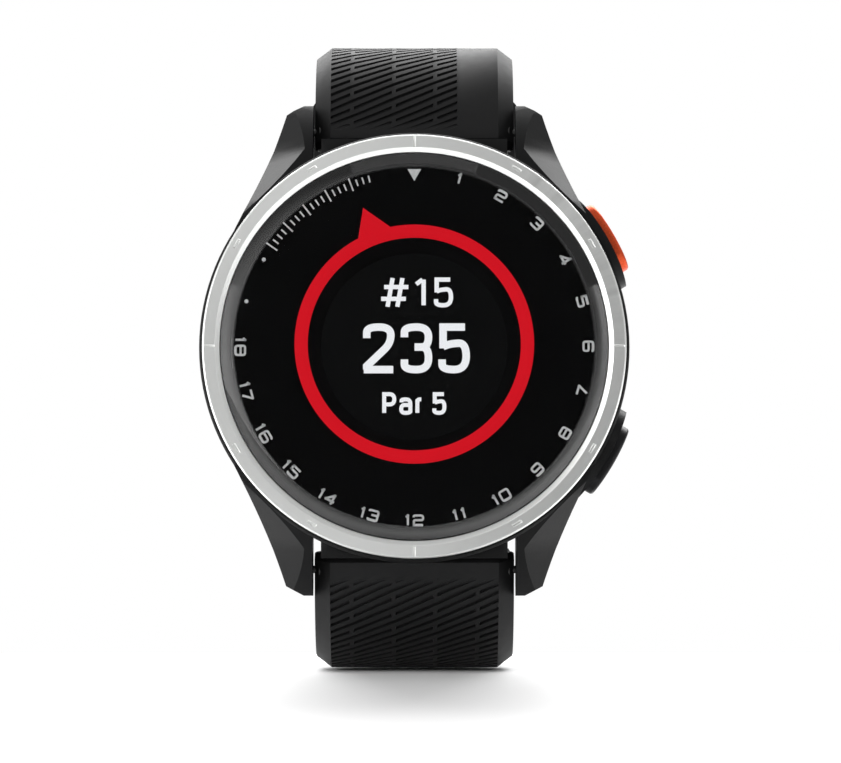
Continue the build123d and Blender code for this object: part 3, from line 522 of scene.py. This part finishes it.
GROOVE_PITCH = 0.82            # along the strap, from line to line
GROOVE_WIDTH = 0.38
GROOVE_DEPTH = 0.35
GROOVE_SLOPE = 0.44            # rise of the lines across the strap, along its length
GROOVE_WALL = 0.04             # slope of the groove sides
BRIDGE = 0.4                   # solid gap in a broken line
ROUND_STEPS = 9
END_CORNER = 0.6
EDGE_ROUND = 0.3               # bevel of the wrist side


def strap_columns(bridges):
    """Lines along the strap: its edges, bevel lines and both sides of each bridge column."""
    half = STRAP_WIDTH / 2
    flat = half - STRAP_BEVEL_WIDTH
    inner = [x + side * BRIDGE / 2 for x in bridges for side in (-1, 1)]
    return [-half, -half + EDGE_ROUND, -flat, *inner, flat, half - EDGE_ROUND, half]


def strap_sheet(columns, start, end, limits, slope):
    """Flat sheet of leaning rows, one land and one groove after another, cut square at both ends."""
    lean = GROOVE_SLOPE * STRAP_WIDTH / 2
    count = int((end - start + 2 * lean) / GROOVE_PITCH) + 2
    bm = bmesh.new()
    base = [bm.verts.new((x, start - lean + slope * x, 0)) for x in columns]
    edges = [bm.edges.new(pair) for pair in zip(base, base[1:])]
    for step in range(2 * count):
        grown = bmesh.ops.extrude_edge_only(bm, edges=edges)["geom"]
        rise = GROOVE_WIDTH if step % 2 else GROOVE_PITCH - GROOVE_WIDTH
        moved = [item for item in grown if isinstance(item, bmesh.types.BMVert)]
        bmesh.ops.translate(bm, verts=moved, vec=(0, rise, 0))
        edges = [item for item in grown if isinstance(item, bmesh.types.BMEdge)]
    for place, outward in ((start, -1), (end, 1)):
        everything = bm.verts[:] + bm.edges[:] + bm.faces[:]
        bmesh.ops.bisect_plane(bm, geom=everything, dist=1e-5, plane_co=(0, place, 0),
                               plane_no=(0, outward, 0), clear_outer=True)
    for place in limits:
        everything = bm.verts[:] + bm.edges[:] + bm.faces[:]
        bmesh.ops.bisect_plane(bm, geom=everything, dist=1e-5, plane_co=(0, place, 0), plane_no=(0, 1, 0))
    return bm


def groove_faces(bm, columns, span, first, start, slope):
    """Faces that lie in a groove line, leaving out the bridges of every second line."""
    lean = GROOVE_SLOPE * STRAP_WIDTH / 2
    chosen = []
    for face in bm.faces:
        centre = face.calc_center_median()
        xs = [vert.co.x for vert in face.verts]
        if min(xs) < columns[0] - 1e-3 or max(xs) > columns[-1] + 1e-3 or not first < centre.y < span:
            continue
        row = (centre.y - slope * centre.x - (start - lean)) / GROOVE_PITCH
        in_groove = row % 1 > 1 - GROOVE_WIDTH / GROOVE_PITCH
        bridge = max(xs) - min(xs) < BRIDGE * 1.1
        if in_groove and not (bridge and int(row) % 2):
            chosen.append(face)
    return chosen


def smoothstep(value, low, high):
    share = min(1.0, max(0.0, (value - low) / (high - low)))
    return share * share * (3 - 2 * share)


def half_height(distance, length, eye):
    """Half thickness along the strap: round over the bar, and over the buckle pin where there is one."""
    height = STRAP_THICKNESS / 2
    for centre, radius in ((0.0, BARREL_RADIUS), (length, eye)):
        offset = abs(distance - centre)
        if radius and offset < radius:
            height = max(height if 0 < distance < length else 0.0, sqrt(radius ** 2 - offset ** 2))
    return height


def end_rounding(distance):
    """How far the sides draw in at the round corners of the bar end."""
    past = min(END_CORNER, max(0.0, END_CORNER - BARREL_RADIUS - distance))
    return END_CORNER - sqrt(END_CORNER ** 2 - past ** 2)


def strap_flat(bridges, length, eye, area, fade, slope):
    """The strap laid out flat: grooved face, bevelled sides and rounded ends, as one closed solid."""
    half = STRAP_WIDTH / 2
    start = -BARREL_RADIUS
    end = length + eye
    ends = [BARREL_RADIUS * sin(pi / 2 * step / ROUND_STEPS) for step in range(ROUND_STEPS)]
    limits = [side * value for value in ends for side in (-1, 1)]
    if eye:
        limits += [length + side * value * eye / BARREL_RADIUS for value in ends for side in (-1, 1)]
    columns = strap_columns(bridges)
    bm = strap_sheet(columns, start, end, limits, slope)
    patterned = [x for x in columns if area[0] - 1e-3 < x < area[1] + 1e-3]
    grooves = groove_faces(bm, patterned, area[3], area[2], start, slope)
    top = bm.faces[:]
    grown = bmesh.ops.extrude_face_region(bm, geom=top, use_keep_orig=True)["geom"]
    lower = {item for item in grown if isinstance(item, bmesh.types.BMVert)}
    bmesh.ops.inset_region(bm, faces=grooves, thickness=GROOVE_WALL, depth=0)
    sunk = {vert for face in grooves for vert in face.verts}
    for vert in bm.verts:
        x, distance = vert.co.x, vert.co.y
        height = half_height(distance, length, eye)
        edge = abs(x) - (half - STRAP_BEVEL_WIDTH)
        vert.co.x *= 1 - end_rounding(distance) / half
        if vert in lower:
            z = -height + max(0.0, abs(x) - (half - EDGE_ROUND)) * min(1.0, height)
        else:
            height = min(height, STRAP_THICKNESS / 2)
            z = height - max(0.0, edge) * min(STRAP_BEVEL_HEIGHT, height) / STRAP_BEVEL_WIDTH
        if vert in sunk:
            z -= GROOVE_DEPTH * smoothstep(distance, *fade)
        vert.co.z = z
    return bm


def bend(bm, long_radius):
    """Lays the flat strap onto its path."""
    for vert in bm.verts:
        x, distance, z = vert.co
        vert.co = strap_place(long_radius, distance) @ Vector((x, 0, z))


def slot_cutter(bm, place, length, width, depth):
    """Adds an upright round-ended slot, long side along the strap, to a cutter."""
    slot = bmesh.new()
    bmesh.ops.create_circle(slot, cap_ends=True, radius=width / 2, segments=24)
    for vert in slot.verts:
        vert.co.y += (length - width) / 2 * (1 if vert.co.y > 0 else -1)
    grown = bmesh.ops.extrude_face_region(slot, geom=slot.faces[:])["geom"]
    moved = [item for item in grown if isinstance(item, bmesh.types.BMVert)]
    bmesh.ops.translate(slot, verts=moved, vec=(0, 0, depth))
    bmesh.ops.translate(slot, verts=slot.verts, vec=(0, 0, -depth / 2))
    slot.transform(place)
    mesh = bpy.data.meshes.new("slot")
    slot.to_mesh(mesh)
    slot.free()
    bm.from_mesh(mesh)
    bpy.data.meshes.remove(mesh)


def cut_away(piece, cutter_bm, place):
    """Takes the cutter's volume out of the piece."""
    cutter_bm.transform(place)
    bmesh.ops.recalc_face_normals(cutter_bm, faces=cutter_bm.faces)
    mesh = bpy.data.meshes.new("cutter")
    cutter_bm.to_mesh(mesh)
    cutter_bm.free()
    cutter = bpy.data.objects.new("cutter", mesh)
    bpy.context.scene.collection.objects.link(cutter)
    boolean = piece.modifiers.new("holes", "BOOLEAN")
    boolean.object = cutter
    boolean.operation = "DIFFERENCE"
    boolean.solver = "EXACT"
    done = bpy.data.meshes.new_from_object(piece.evaluated_get(bpy.context.evaluated_depsgraph_get()))
    piece.modifiers.clear()
    done.name = piece.data.name
    piece.data = done
    bpy.data.objects.remove(cutter)


def strap_piece(half, long_radius, bm, flip, cutter):
    """One strap half: bent onto its path, laid in the row frame and pierced."""
    name = f"{half}_strap_band"
    bend(bm, long_radius)
    place = DIAL @ FLIP if flip else DIAL
    mesh = to_mesh(bm, name, place)
    piece = add_piece(name, mesh, "strap_silicone", f"{half}_strap_half", (f"{half}_strap",), crease=24)
    cut_away(piece, cutter, place)
    piece.data.set_sharp_from_angle(angle=radians(24))
    return piece


BRIDGES = [-6.45, -2.13, 2.15, 6.5]
flat_half = STRAP_WIDTH / 2 - STRAP_BEVEL_WIDTH

# The short half leaves a plain band along its right side, and is forked at the buckle pin.
upper_edge = 4.42
upper_bridges = [*BRIDGES[:3], upper_edge + BRIDGE / 2]
upper_area = (-flat_half, upper_edge, -0.4, 58.0)
upper_bm = strap_flat(upper_bridges, UPPER_LENGTH, EYE_RADIUS, upper_area, (-0.4, 1.6), GROOVE_SLOPE)
upper_cutter = bmesh.new()
slot_cutter(upper_cutter, strap_place(UPPER_RADIUS, UPPER_LENGTH + 1.0), 14.0, 3.0, 8.0)
strap_piece("upper", UPPER_RADIUS, upper_bm, False, upper_cutter)

lower_area = (-flat_half, flat_half, 0.1, 38.0)
lower_bm = strap_flat(BRIDGES, LOWER_LENGTH, 0.0, lower_area, (0.2, 2.3), -GROOVE_SLOPE)
for vert in lower_bm.verts:
    past = (vert.co.y - (LOWER_LENGTH - STRAP_WIDTH / 2)) / (STRAP_WIDTH / 2)
    if past > 0:
        vert.co.x *= sqrt(max(0.002, 1 - past ** 2))
lower_cutter = bmesh.new()
for index in range(HOLE_COUNT):
    hole_place = strap_place(LOWER_RADIUS, HOLE_FIRST - index * HOLE_PITCH)
    slot_cutter(lower_cutter, hole_place, HOLE_LENGTH, HOLE_WIDTH, 8.0)
strap_piece("lower", LOWER_RADIUS, lower_bm, True, lower_cutter)


# ---------------------------------------------------------------- dial print and display picture
def flat_disc(radius, height, segments=160):
    bm = bmesh.new()
    bmesh.ops.create_circle(bm, cap_ends=True, radius=radius, segments=segments)
    bmesh.ops.translate(bm, verts=bm.verts, vec=(0, 0, height))
    return bm


def flat_ring(inner, outer, height, centre=(0, 0), steps=160):
    bm = bmesh.new()
    verts = [bm.verts.new((inner, 0, height)), bm.verts.new((outer, 0, height))]
    edge = bm.edges.new(verts)
    bmesh.ops.spin(bm, geom=[*verts, edge], axis=(0, 0, 1), cent=(0, 0, 0), angle=2 * pi, steps=steps,
                   use_merge=True)
    bmesh.ops.translate(bm, verts=bm.verts, vec=(*centre, 0))
    return bm


def thin(bm, thickness=0.02):
    """Gives flat ink or lit shapes a thin body."""
    result = bmesh.ops.extrude_face_region(bm, geom=bm.faces[:])
    moved = [item for item in result["geom"] if isinstance(item, bmesh.types.BMVert)]
    bmesh.ops.translate(bm, verts=moved, vec=(0, 0, thickness))
    return bm


# Each glyph is a list of strokes in a unit box; a third number rounds that corner.
DISPLAY_GLYPHS = {
    "#": [[(0.16, -0.06), (0.4, 1.06)], [(0.62, -0.06), (0.86, 1.06)], [(-0.14, 0.25), (1.02, 0.25)],
          [(0, 0.71), (1.14, 0.71)]],
    "1": [[(0, 0.82), (0.7, 1)], [(0.82, 0), (0.82, 1)]],
    "2": [[(0, 0.74), (0, 1, 0.32), (1, 1, 0.32), (1, 0.62, 0.2), (0, 0.08), (0, 0)], [(-0.12, 0), (1.1, 0)]],
    "3": [[(0, 0.76), (0, 1, 0.32), (1, 1, 0.32), (1, 0.53, 0.25), (0.42, 0.53)],
          [(0.42, 0.53), (1, 0.53, 0.25), (1, 0, 0.32), (0, 0, 0.32), (0, 0.24)]],
    "5": [[(0.95, 1), (0.04, 1), (0.04, 0.5)],
          [(0.04, 0.54), (0.3, 0.6, 0.1), (1, 0.64, 0.35), (1, 0, 0.45), (0, 0, 0.45), (0, 0.24)]],
    "P": [[(0, 0), (0, 1), (1, 1, 0.45), (1, 0.45, 0.45), (0, 0.45)]],
    "a": [[(0.08, 0.56), (0.08, 0.72, 0.2), (0.95, 0.72, 0.25), (0.95, 0)],
          [(0.95, 0.42), (0.05, 0.42, 0.2), (0.05, 0, 0.2), (0.95, 0, 0.3), (0.95, 0.2)]],
    "r": [[(0, 0), (0, 0.72)], [(0, 0.5), (0.1, 0.72, 0.2), (0.8, 0.72)]],
}
LOOP = [(0.5, 1), (1, 1, 0.25), (1, 0, 0.25), (0, 0, 0.25), (0, 1, 0.25), (0.5, 1)]
SIX = [(1, 0.85), (1, 1, 0.2), (0, 1, 0.25), (0, 0, 0.25), (1, 0, 0.25), (1, 0.55, 0.2), (0, 0.55)]
RING_GLYPHS = {
    "0": [LOOP],
    "1": [[(0.1, 0.8), (0.6, 1), (0.6, 0)]],
    "2": [[(0, 0.8), (0, 1, 0.25), (1, 1, 0.25), (1, 0.5, 0.2), (0, 0.5, 0.2), (0, 0), (1, 0)]],
    "3": [[(0, 0.85), (0, 1, 0.2), (1, 1, 0.2), (1, 0, 0.2), (0, 0, 0.2), (0, 0.15)], [(0.3, 0.5), (1, 0.5)]],
    "4": [[(0.75, 0), (0.75, 1), (0, 0.3), (1, 0.3)]],
    "5": [[(1, 1), (0, 1), (0, 0.58), (1, 0.58, 0.2), (1, 0, 0.2), (0, 0, 0.2), (0, 0.15)]],
    "6": [SIX],
    "7": [[(0, 1), (1, 1, 0.05), (0.4, 0)]],
    "8": [LOOP, [(0, 0.52), (1, 0.52)]],
    "9": [[(1 - point[0], 1 - point[1], *point[2:]) for point in SIX]],
}


def rounded(points, width, height):
    """A stroke's corners in millimetres, each one with a radius turned into a short curve."""
    scaled = [(Vector((x * width, y * height)), corner[0] if corner else 0) for x, y, *corner in points]
    path = []
    for index, (here, corner) in enumerate(scaled):
        if not corner:
            path.append(here)
            continue
        before = scaled[index - 1][0] - here
        after = scaled[index + 1][0] - here
        reach = corner * height
        start = here + before.normalized() * min(reach, before.length * 0.5)
        end = here + after.normalized() * min(reach, after.length * 0.5)
        for step in range(9):
            share = step / 8
            path.append(start * (1 - share) ** 2 + here * 2 * share * (1 - share) + end * share ** 2)
    return [point for index, point in enumerate(path) if not index or (point - path[index - 1]).length > 1e-4]


def stroke_strip(bm, path, stroke):
    """A ribbon of faces of even width along a path; sharp turns are mitred, acute ones cut square."""
    sides = []
    for index, here in enumerate(path):
        before = (here - path[index - 1]).normalized() if index else (path[1] - here).normalized()
        after = (path[index + 1] - here).normalized() if index < len(path) - 1 else before
        normals = [Vector((-way.y, way.x)) for way in (before, after)]
        if before.dot(after) < 0.2:
            # an acute turn ends one run and starts the next, lapped over it
            lap = stroke / 2
            sides.append([(here + before * lap + normals[0] * stroke / 2 * side) for side in (1, -1)])
            sides.append(None)
            sides.append([(here - after * lap + normals[1] * stroke / 2 * side) for side in (1, -1)])
            continue
        across = (normals[0] + normals[1]).normalized()
        reach = stroke / 2 / across.dot(normals[0])
        sides.append([here + across * reach * side for side in (1, -1)])
    for one, other in zip(sides, sides[1:]):
        if one and other:
            corners = (one[0], one[1], other[1], other[0])
            bm.faces.new([bm.verts.new((*corner, 0)) for corner in corners])
    bmesh.ops.remove_doubles(bm, verts=bm.verts, dist=1e-5)


def lettering(glyphs, text, height, widths, stroke, gap, place):
    """Characters drawn with an even stroke: cap height in millimetres, centred, then placed."""
    bm = bmesh.new()
    inner = height - stroke
    pen = 0.0
    for letter in text:
        if letter == " ":
            pen += widths[letter] + gap
            continue
        width = widths.get(letter, widths["any"]) - stroke
        for line in glyphs[letter]:
            part = bmesh.new()
            stroke_strip(part, rounded(line, width, inner), stroke)
            level = 0.002 * glyphs[letter].index(line)
            bmesh.ops.translate(part, verts=part.verts, vec=(pen + stroke / 2, -inner / 2, level))
            mesh = bpy.data.meshes.new("stroke")
            part.to_mesh(mesh)
            part.free()
            bm.from_mesh(mesh)
            bpy.data.meshes.remove(mesh)
        pen += width + stroke + gap
    bmesh.ops.translate(bm, verts=bm.verts, vec=(-(pen - gap) / 2, 0, 0))
    bm.transform(place)
    return bm


def gather(parts):
    """Joins several bmeshes into one."""
    whole = bmesh.new()
    for part in parts:
        mesh = bpy.data.meshes.new("part")
        part.to_mesh(mesh)
        part.free()
        whole.from_mesh(mesh)
        bpy.data.meshes.remove(mesh)
    return whole


def clock_place(turn, radius, height, inward):
    """Place on the dial ring at a clockwise angle from 12; inward turns the tops to the centre."""
    spin = -turn + (pi if inward else 0)
    shift = Matrix.Translation((radius * sin(turn), radius * cos(turn), height))
    return shift @ Matrix.Rotation(spin, 4, "Z")


# the dial print gets a faint painted glow (emission 0.1), standing in for light through the glass
FINISHES["dial_ink_painted_glow"] = printed("dial_ink_painted_glow", (0.62, 0.63, 0.63), 0.1)
FINISHES["lit_white"] = lit("lit_white", (0.95, 0.97, 1.0), 0.95)
FINISHES["lit_red"] = lit("lit_red", (0.66, 0.006, 0.015), 1.0)
FINISHES["lit_grey"] = lit("lit_grey", (0.0016, 0.0017, 0.0018), 1.0)


def ink_piece(name, bm, finish):
    piece_mesh = to_mesh(thin(bm), name)
    piece = bpy.data.objects.new(name, piece_mesh)
    bpy.context.scene.collection.objects.link(piece)
    piece_mesh.materials.append(FINISHES[finish].material)
    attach(piece, "head")
    return piece


NUMBER_RADIUS = 17.62
numbers = []
for hole in range(1, 19):
    turn = radians(15 * hole)
    place = clock_place(turn, NUMBER_RADIUS, DIAL_TOP, hole > 6)
    numbers.append(lettering(RING_GLYPHS, str(hole), 1.16, {"any": 1.15, "1": 0.62}, 0.22, 0.22, place))
for turn in (285, 300):
    dot = flat_disc(0.2, 0, 20)
    dot.transform(clock_place(radians(turn), NUMBER_RADIUS, DIAL_TOP, False))
    numbers.append(dot)
ink_piece("hole_numbers", gather(numbers), "dial_ink_painted_glow")


def radial_mark(turn, length, width, radius):
    bm = bmesh.new()
    bmesh.ops.create_grid(bm, x_segments=1, y_segments=1, size=0.5)
    bmesh.ops.scale(bm, verts=bm.verts, vec=(width, length, 1))
    bm.transform(clock_place(turn, radius, DIAL_TOP, False))
    return bm


ticks = []
for step in range(20):
    long_tick = step % 4 == 0
    ticks.append(radial_mark(radians(305 + 2.1 * step), 1.3 if long_tick else 0.7, 0.16, NUMBER_RADIUS))
pip = bmesh.new()
bmesh.ops.create_circle(pip, cap_ends=True, radius=0.8, segments=3)
pip.transform(clock_place(0, NUMBER_RADIUS, DIAL_TOP, True))
ink_piece("dial_scale", gather([*ticks, pip]), "dial_ink_painted_glow")

LIT = PANEL_TOP + 0.005
ring_centre = (0.0, 0.25)
ink_piece("distance_ring", flat_ring(10.8, 12.15, LIT, ring_centre), "lit_red")
arrow = bmesh.new()
tip = Vector((-5.2, 14.1, LIT))
base = (Vector((-5.7, 10.95, LIT)), Vector((-2.2, 12.0, LIT)))
arrow.faces.new([arrow.verts.new(point) for point in (tip, base[0], base[1])])
ink_piece("wind_pointer", arrow, "lit_red")
ink_piece("display_centre", flat_disc(9.45, LIT - 0.004), "lit_grey")


def screen_place(x, y):
    return Matrix.Translation((x, y, LIT + 0.01))


readings = [
    lettering(DISPLAY_GLYPHS, "#15", 3.05, {"any": 1.95, "#": 2.6, "1": 1.35}, 0.44, 0.66,
              screen_place(0.33, 5.48)),
    lettering(DISPLAY_GLYPHS, "235", 5.08, {"any": 3.2}, 0.76, 0.62, screen_place(0.22, -0.2)),
    lettering(DISPLAY_GLYPHS, "Par 5", 2.3, {"any": 1.42, "r": 0.9, " ": 0.3}, 0.4, 0.26,
              screen_place(0.0, -5.8)),
]
ink_piece("display_readings", gather(readings), "lit_white")

# ---------------------------------------------------------------- finishes on the CAD nodes
for node, item in frame["nodes"].items():
    item.data.materials.clear()
    item.data.materials.append(FINISHES[slot_of_node(node)].material)

# ---------------------------------------------------------------- stage, light and camera
def stage_material():
    finish = Finish("studio_white", (0.93, 0.93, 0.93), 0.7)
    tint = finish.noise(3, 2)
    return finish.colour(finish.shade(tint, (0.92, 0.92, 0.92), (0.95, 0.95, 0.95)))


FLOOR = cad_box[0][2] - 0.0002
floor_bm = bmesh.new()
profile = [(-0.6, -0.115), (-0.3, -0.056), (-0.1, -0.0175), (-0.04, -0.006), (-0.02, -0.0025),
           (-0.005, -0.0004), (0.01, 0), (0.15, 0), (0.3, 0)]
left = [floor_bm.verts.new((-0.6, y, FLOOR + z)) for y, z in profile]
edges = [floor_bm.edges.new(pair) for pair in zip(left, left[1:])]
grown = bmesh.ops.extrude_edge_only(floor_bm, edges=edges)
moved = [item for item in grown["geom"] if isinstance(item, bmesh.types.BMVert)]
bmesh.ops.translate(floor_bm, verts=moved, vec=(1.2, 0, 0))
floor_mesh = bpy.data.meshes.new("studio_floor")
bmesh.ops.recalc_face_normals(floor_bm, faces=floor_bm.faces)
floor_bm.to_mesh(floor_mesh)
floor_bm.free()
floor_mesh.shade_smooth()
floor_mesh.materials.append(stage_material().material)
floor = bpy.data.objects.new("studio_floor", floor_mesh)
bpy.context.scene.collection.objects.link(floor)


def softbox(name, place, target, size, power):
    light = bpy.data.lights.new(name, "AREA")
    light.shape = "RECTANGLE"
    light.size, light.size_y = size
    light.energy = power
    lamp = bpy.data.objects.new(name, light)
    lamp.location = place
    lamp.rotation_euler = (Vector(target) - Vector(place)).to_track_quat("-Z", "Y").to_euler()
    bpy.context.scene.collection.objects.link(lamp)
    return lamp


softbox("back_box", (0.0, 0.42, 0.55), (0, 0.02, 0), (1.1, 0.6), 13.0)

world = bpy.data.worlds.new("studio")
bpy.context.scene.world = world
world.use_nodes = True
tree = world.node_tree
tree.nodes.clear()
output = tree.nodes.new("ShaderNodeOutputWorld")
mix = tree.nodes.new("ShaderNodeMixShader")
path = tree.nodes.new("ShaderNodeLightPath")
seen = tree.nodes.new("ShaderNodeBackground")
seen.inputs["Color"].default_value = (1, 1, 1, 1)
cast = tree.nodes.new("ShaderNodeBackground")
direction = tree.nodes.new("ShaderNodeTexCoord")


def toward(axis, start, end, low, high):
    """Smooth change of brightness with the angle from an axis."""
    dot = tree.nodes.new("ShaderNodeVectorMath")
    dot.operation = "DOT_PRODUCT"
    dot.inputs[1].default_value = Vector(axis).normalized()
    ramp = tree.nodes.new("ShaderNodeMapRange")
    for key, value in (("From Min", start), ("From Max", end), ("To Min", low), ("To Max", high)):
        ramp.inputs[key].default_value = value
    ramp.interpolation_type = "SMOOTHSTEP"
    tree.links.new(direction.outputs["Generated"], dot.inputs[0])
    tree.links.new(dot.outputs["Value"], ramp.inputs["Value"])
    return ramp.outputs["Result"]


around = toward((0, -1, 0), 0.93, 0.98, 1.0, 0.01)
low_left = toward((-0.5, -0.4, -0.75), -0.1, 0.9, 0.6, 3.6)
product = tree.nodes.new("ShaderNodeMath")
product.operation = "MULTIPLY"
tree.links.new(around, product.inputs[0])
tree.links.new(low_left, product.inputs[1])
tree.links.new(product.outputs["Value"], cast.inputs["Color"])
tree.links.new(path.outputs["Is Camera Ray"], mix.inputs["Fac"])
tree.links.new(cast.outputs["Background"], mix.inputs[1])
tree.links.new(seen.outputs["Background"], mix.inputs[2])
tree.links.new(mix.outputs["Shader"], output.inputs["Surface"])
bpy.context.scene.view_settings.view_transform = "Standard"

# The camera looks slightly up at the dial through a long lens.
VIEW_WIDTH = 85.12             # millimetres across the picture, on the bezel's plane
CAMERA_DISTANCE = 0.45
CAMERA_TILT = radians(3.2)
camera_data = bpy.data.cameras.new("camera")
camera = bpy.data.objects.new("camera", camera_data)
bpy.context.scene.collection.objects.link(camera)
bpy.context.scene.camera = camera
camera_data.sensor_width = 36
camera_data.lens = 36 * CAMERA_DISTANCE / (VIEW_WIDTH * MM)
camera_data.clip_start = 0.005
camera_data.clip_end = 20
forward = Vector((0, cos(CAMERA_TILT), sin(CAMERA_TILT)))
upward = Vector((0, -sin(CAMERA_TILT), cos(CAMERA_TILT)))
target = Vector((0.00063, -0.0111, 0)) - upward * 0.003613
camera.location = target - forward * CAMERA_DISTANCE
camera.rotation_euler = forward.to_track_quat("-Z", "Y").to_euler()
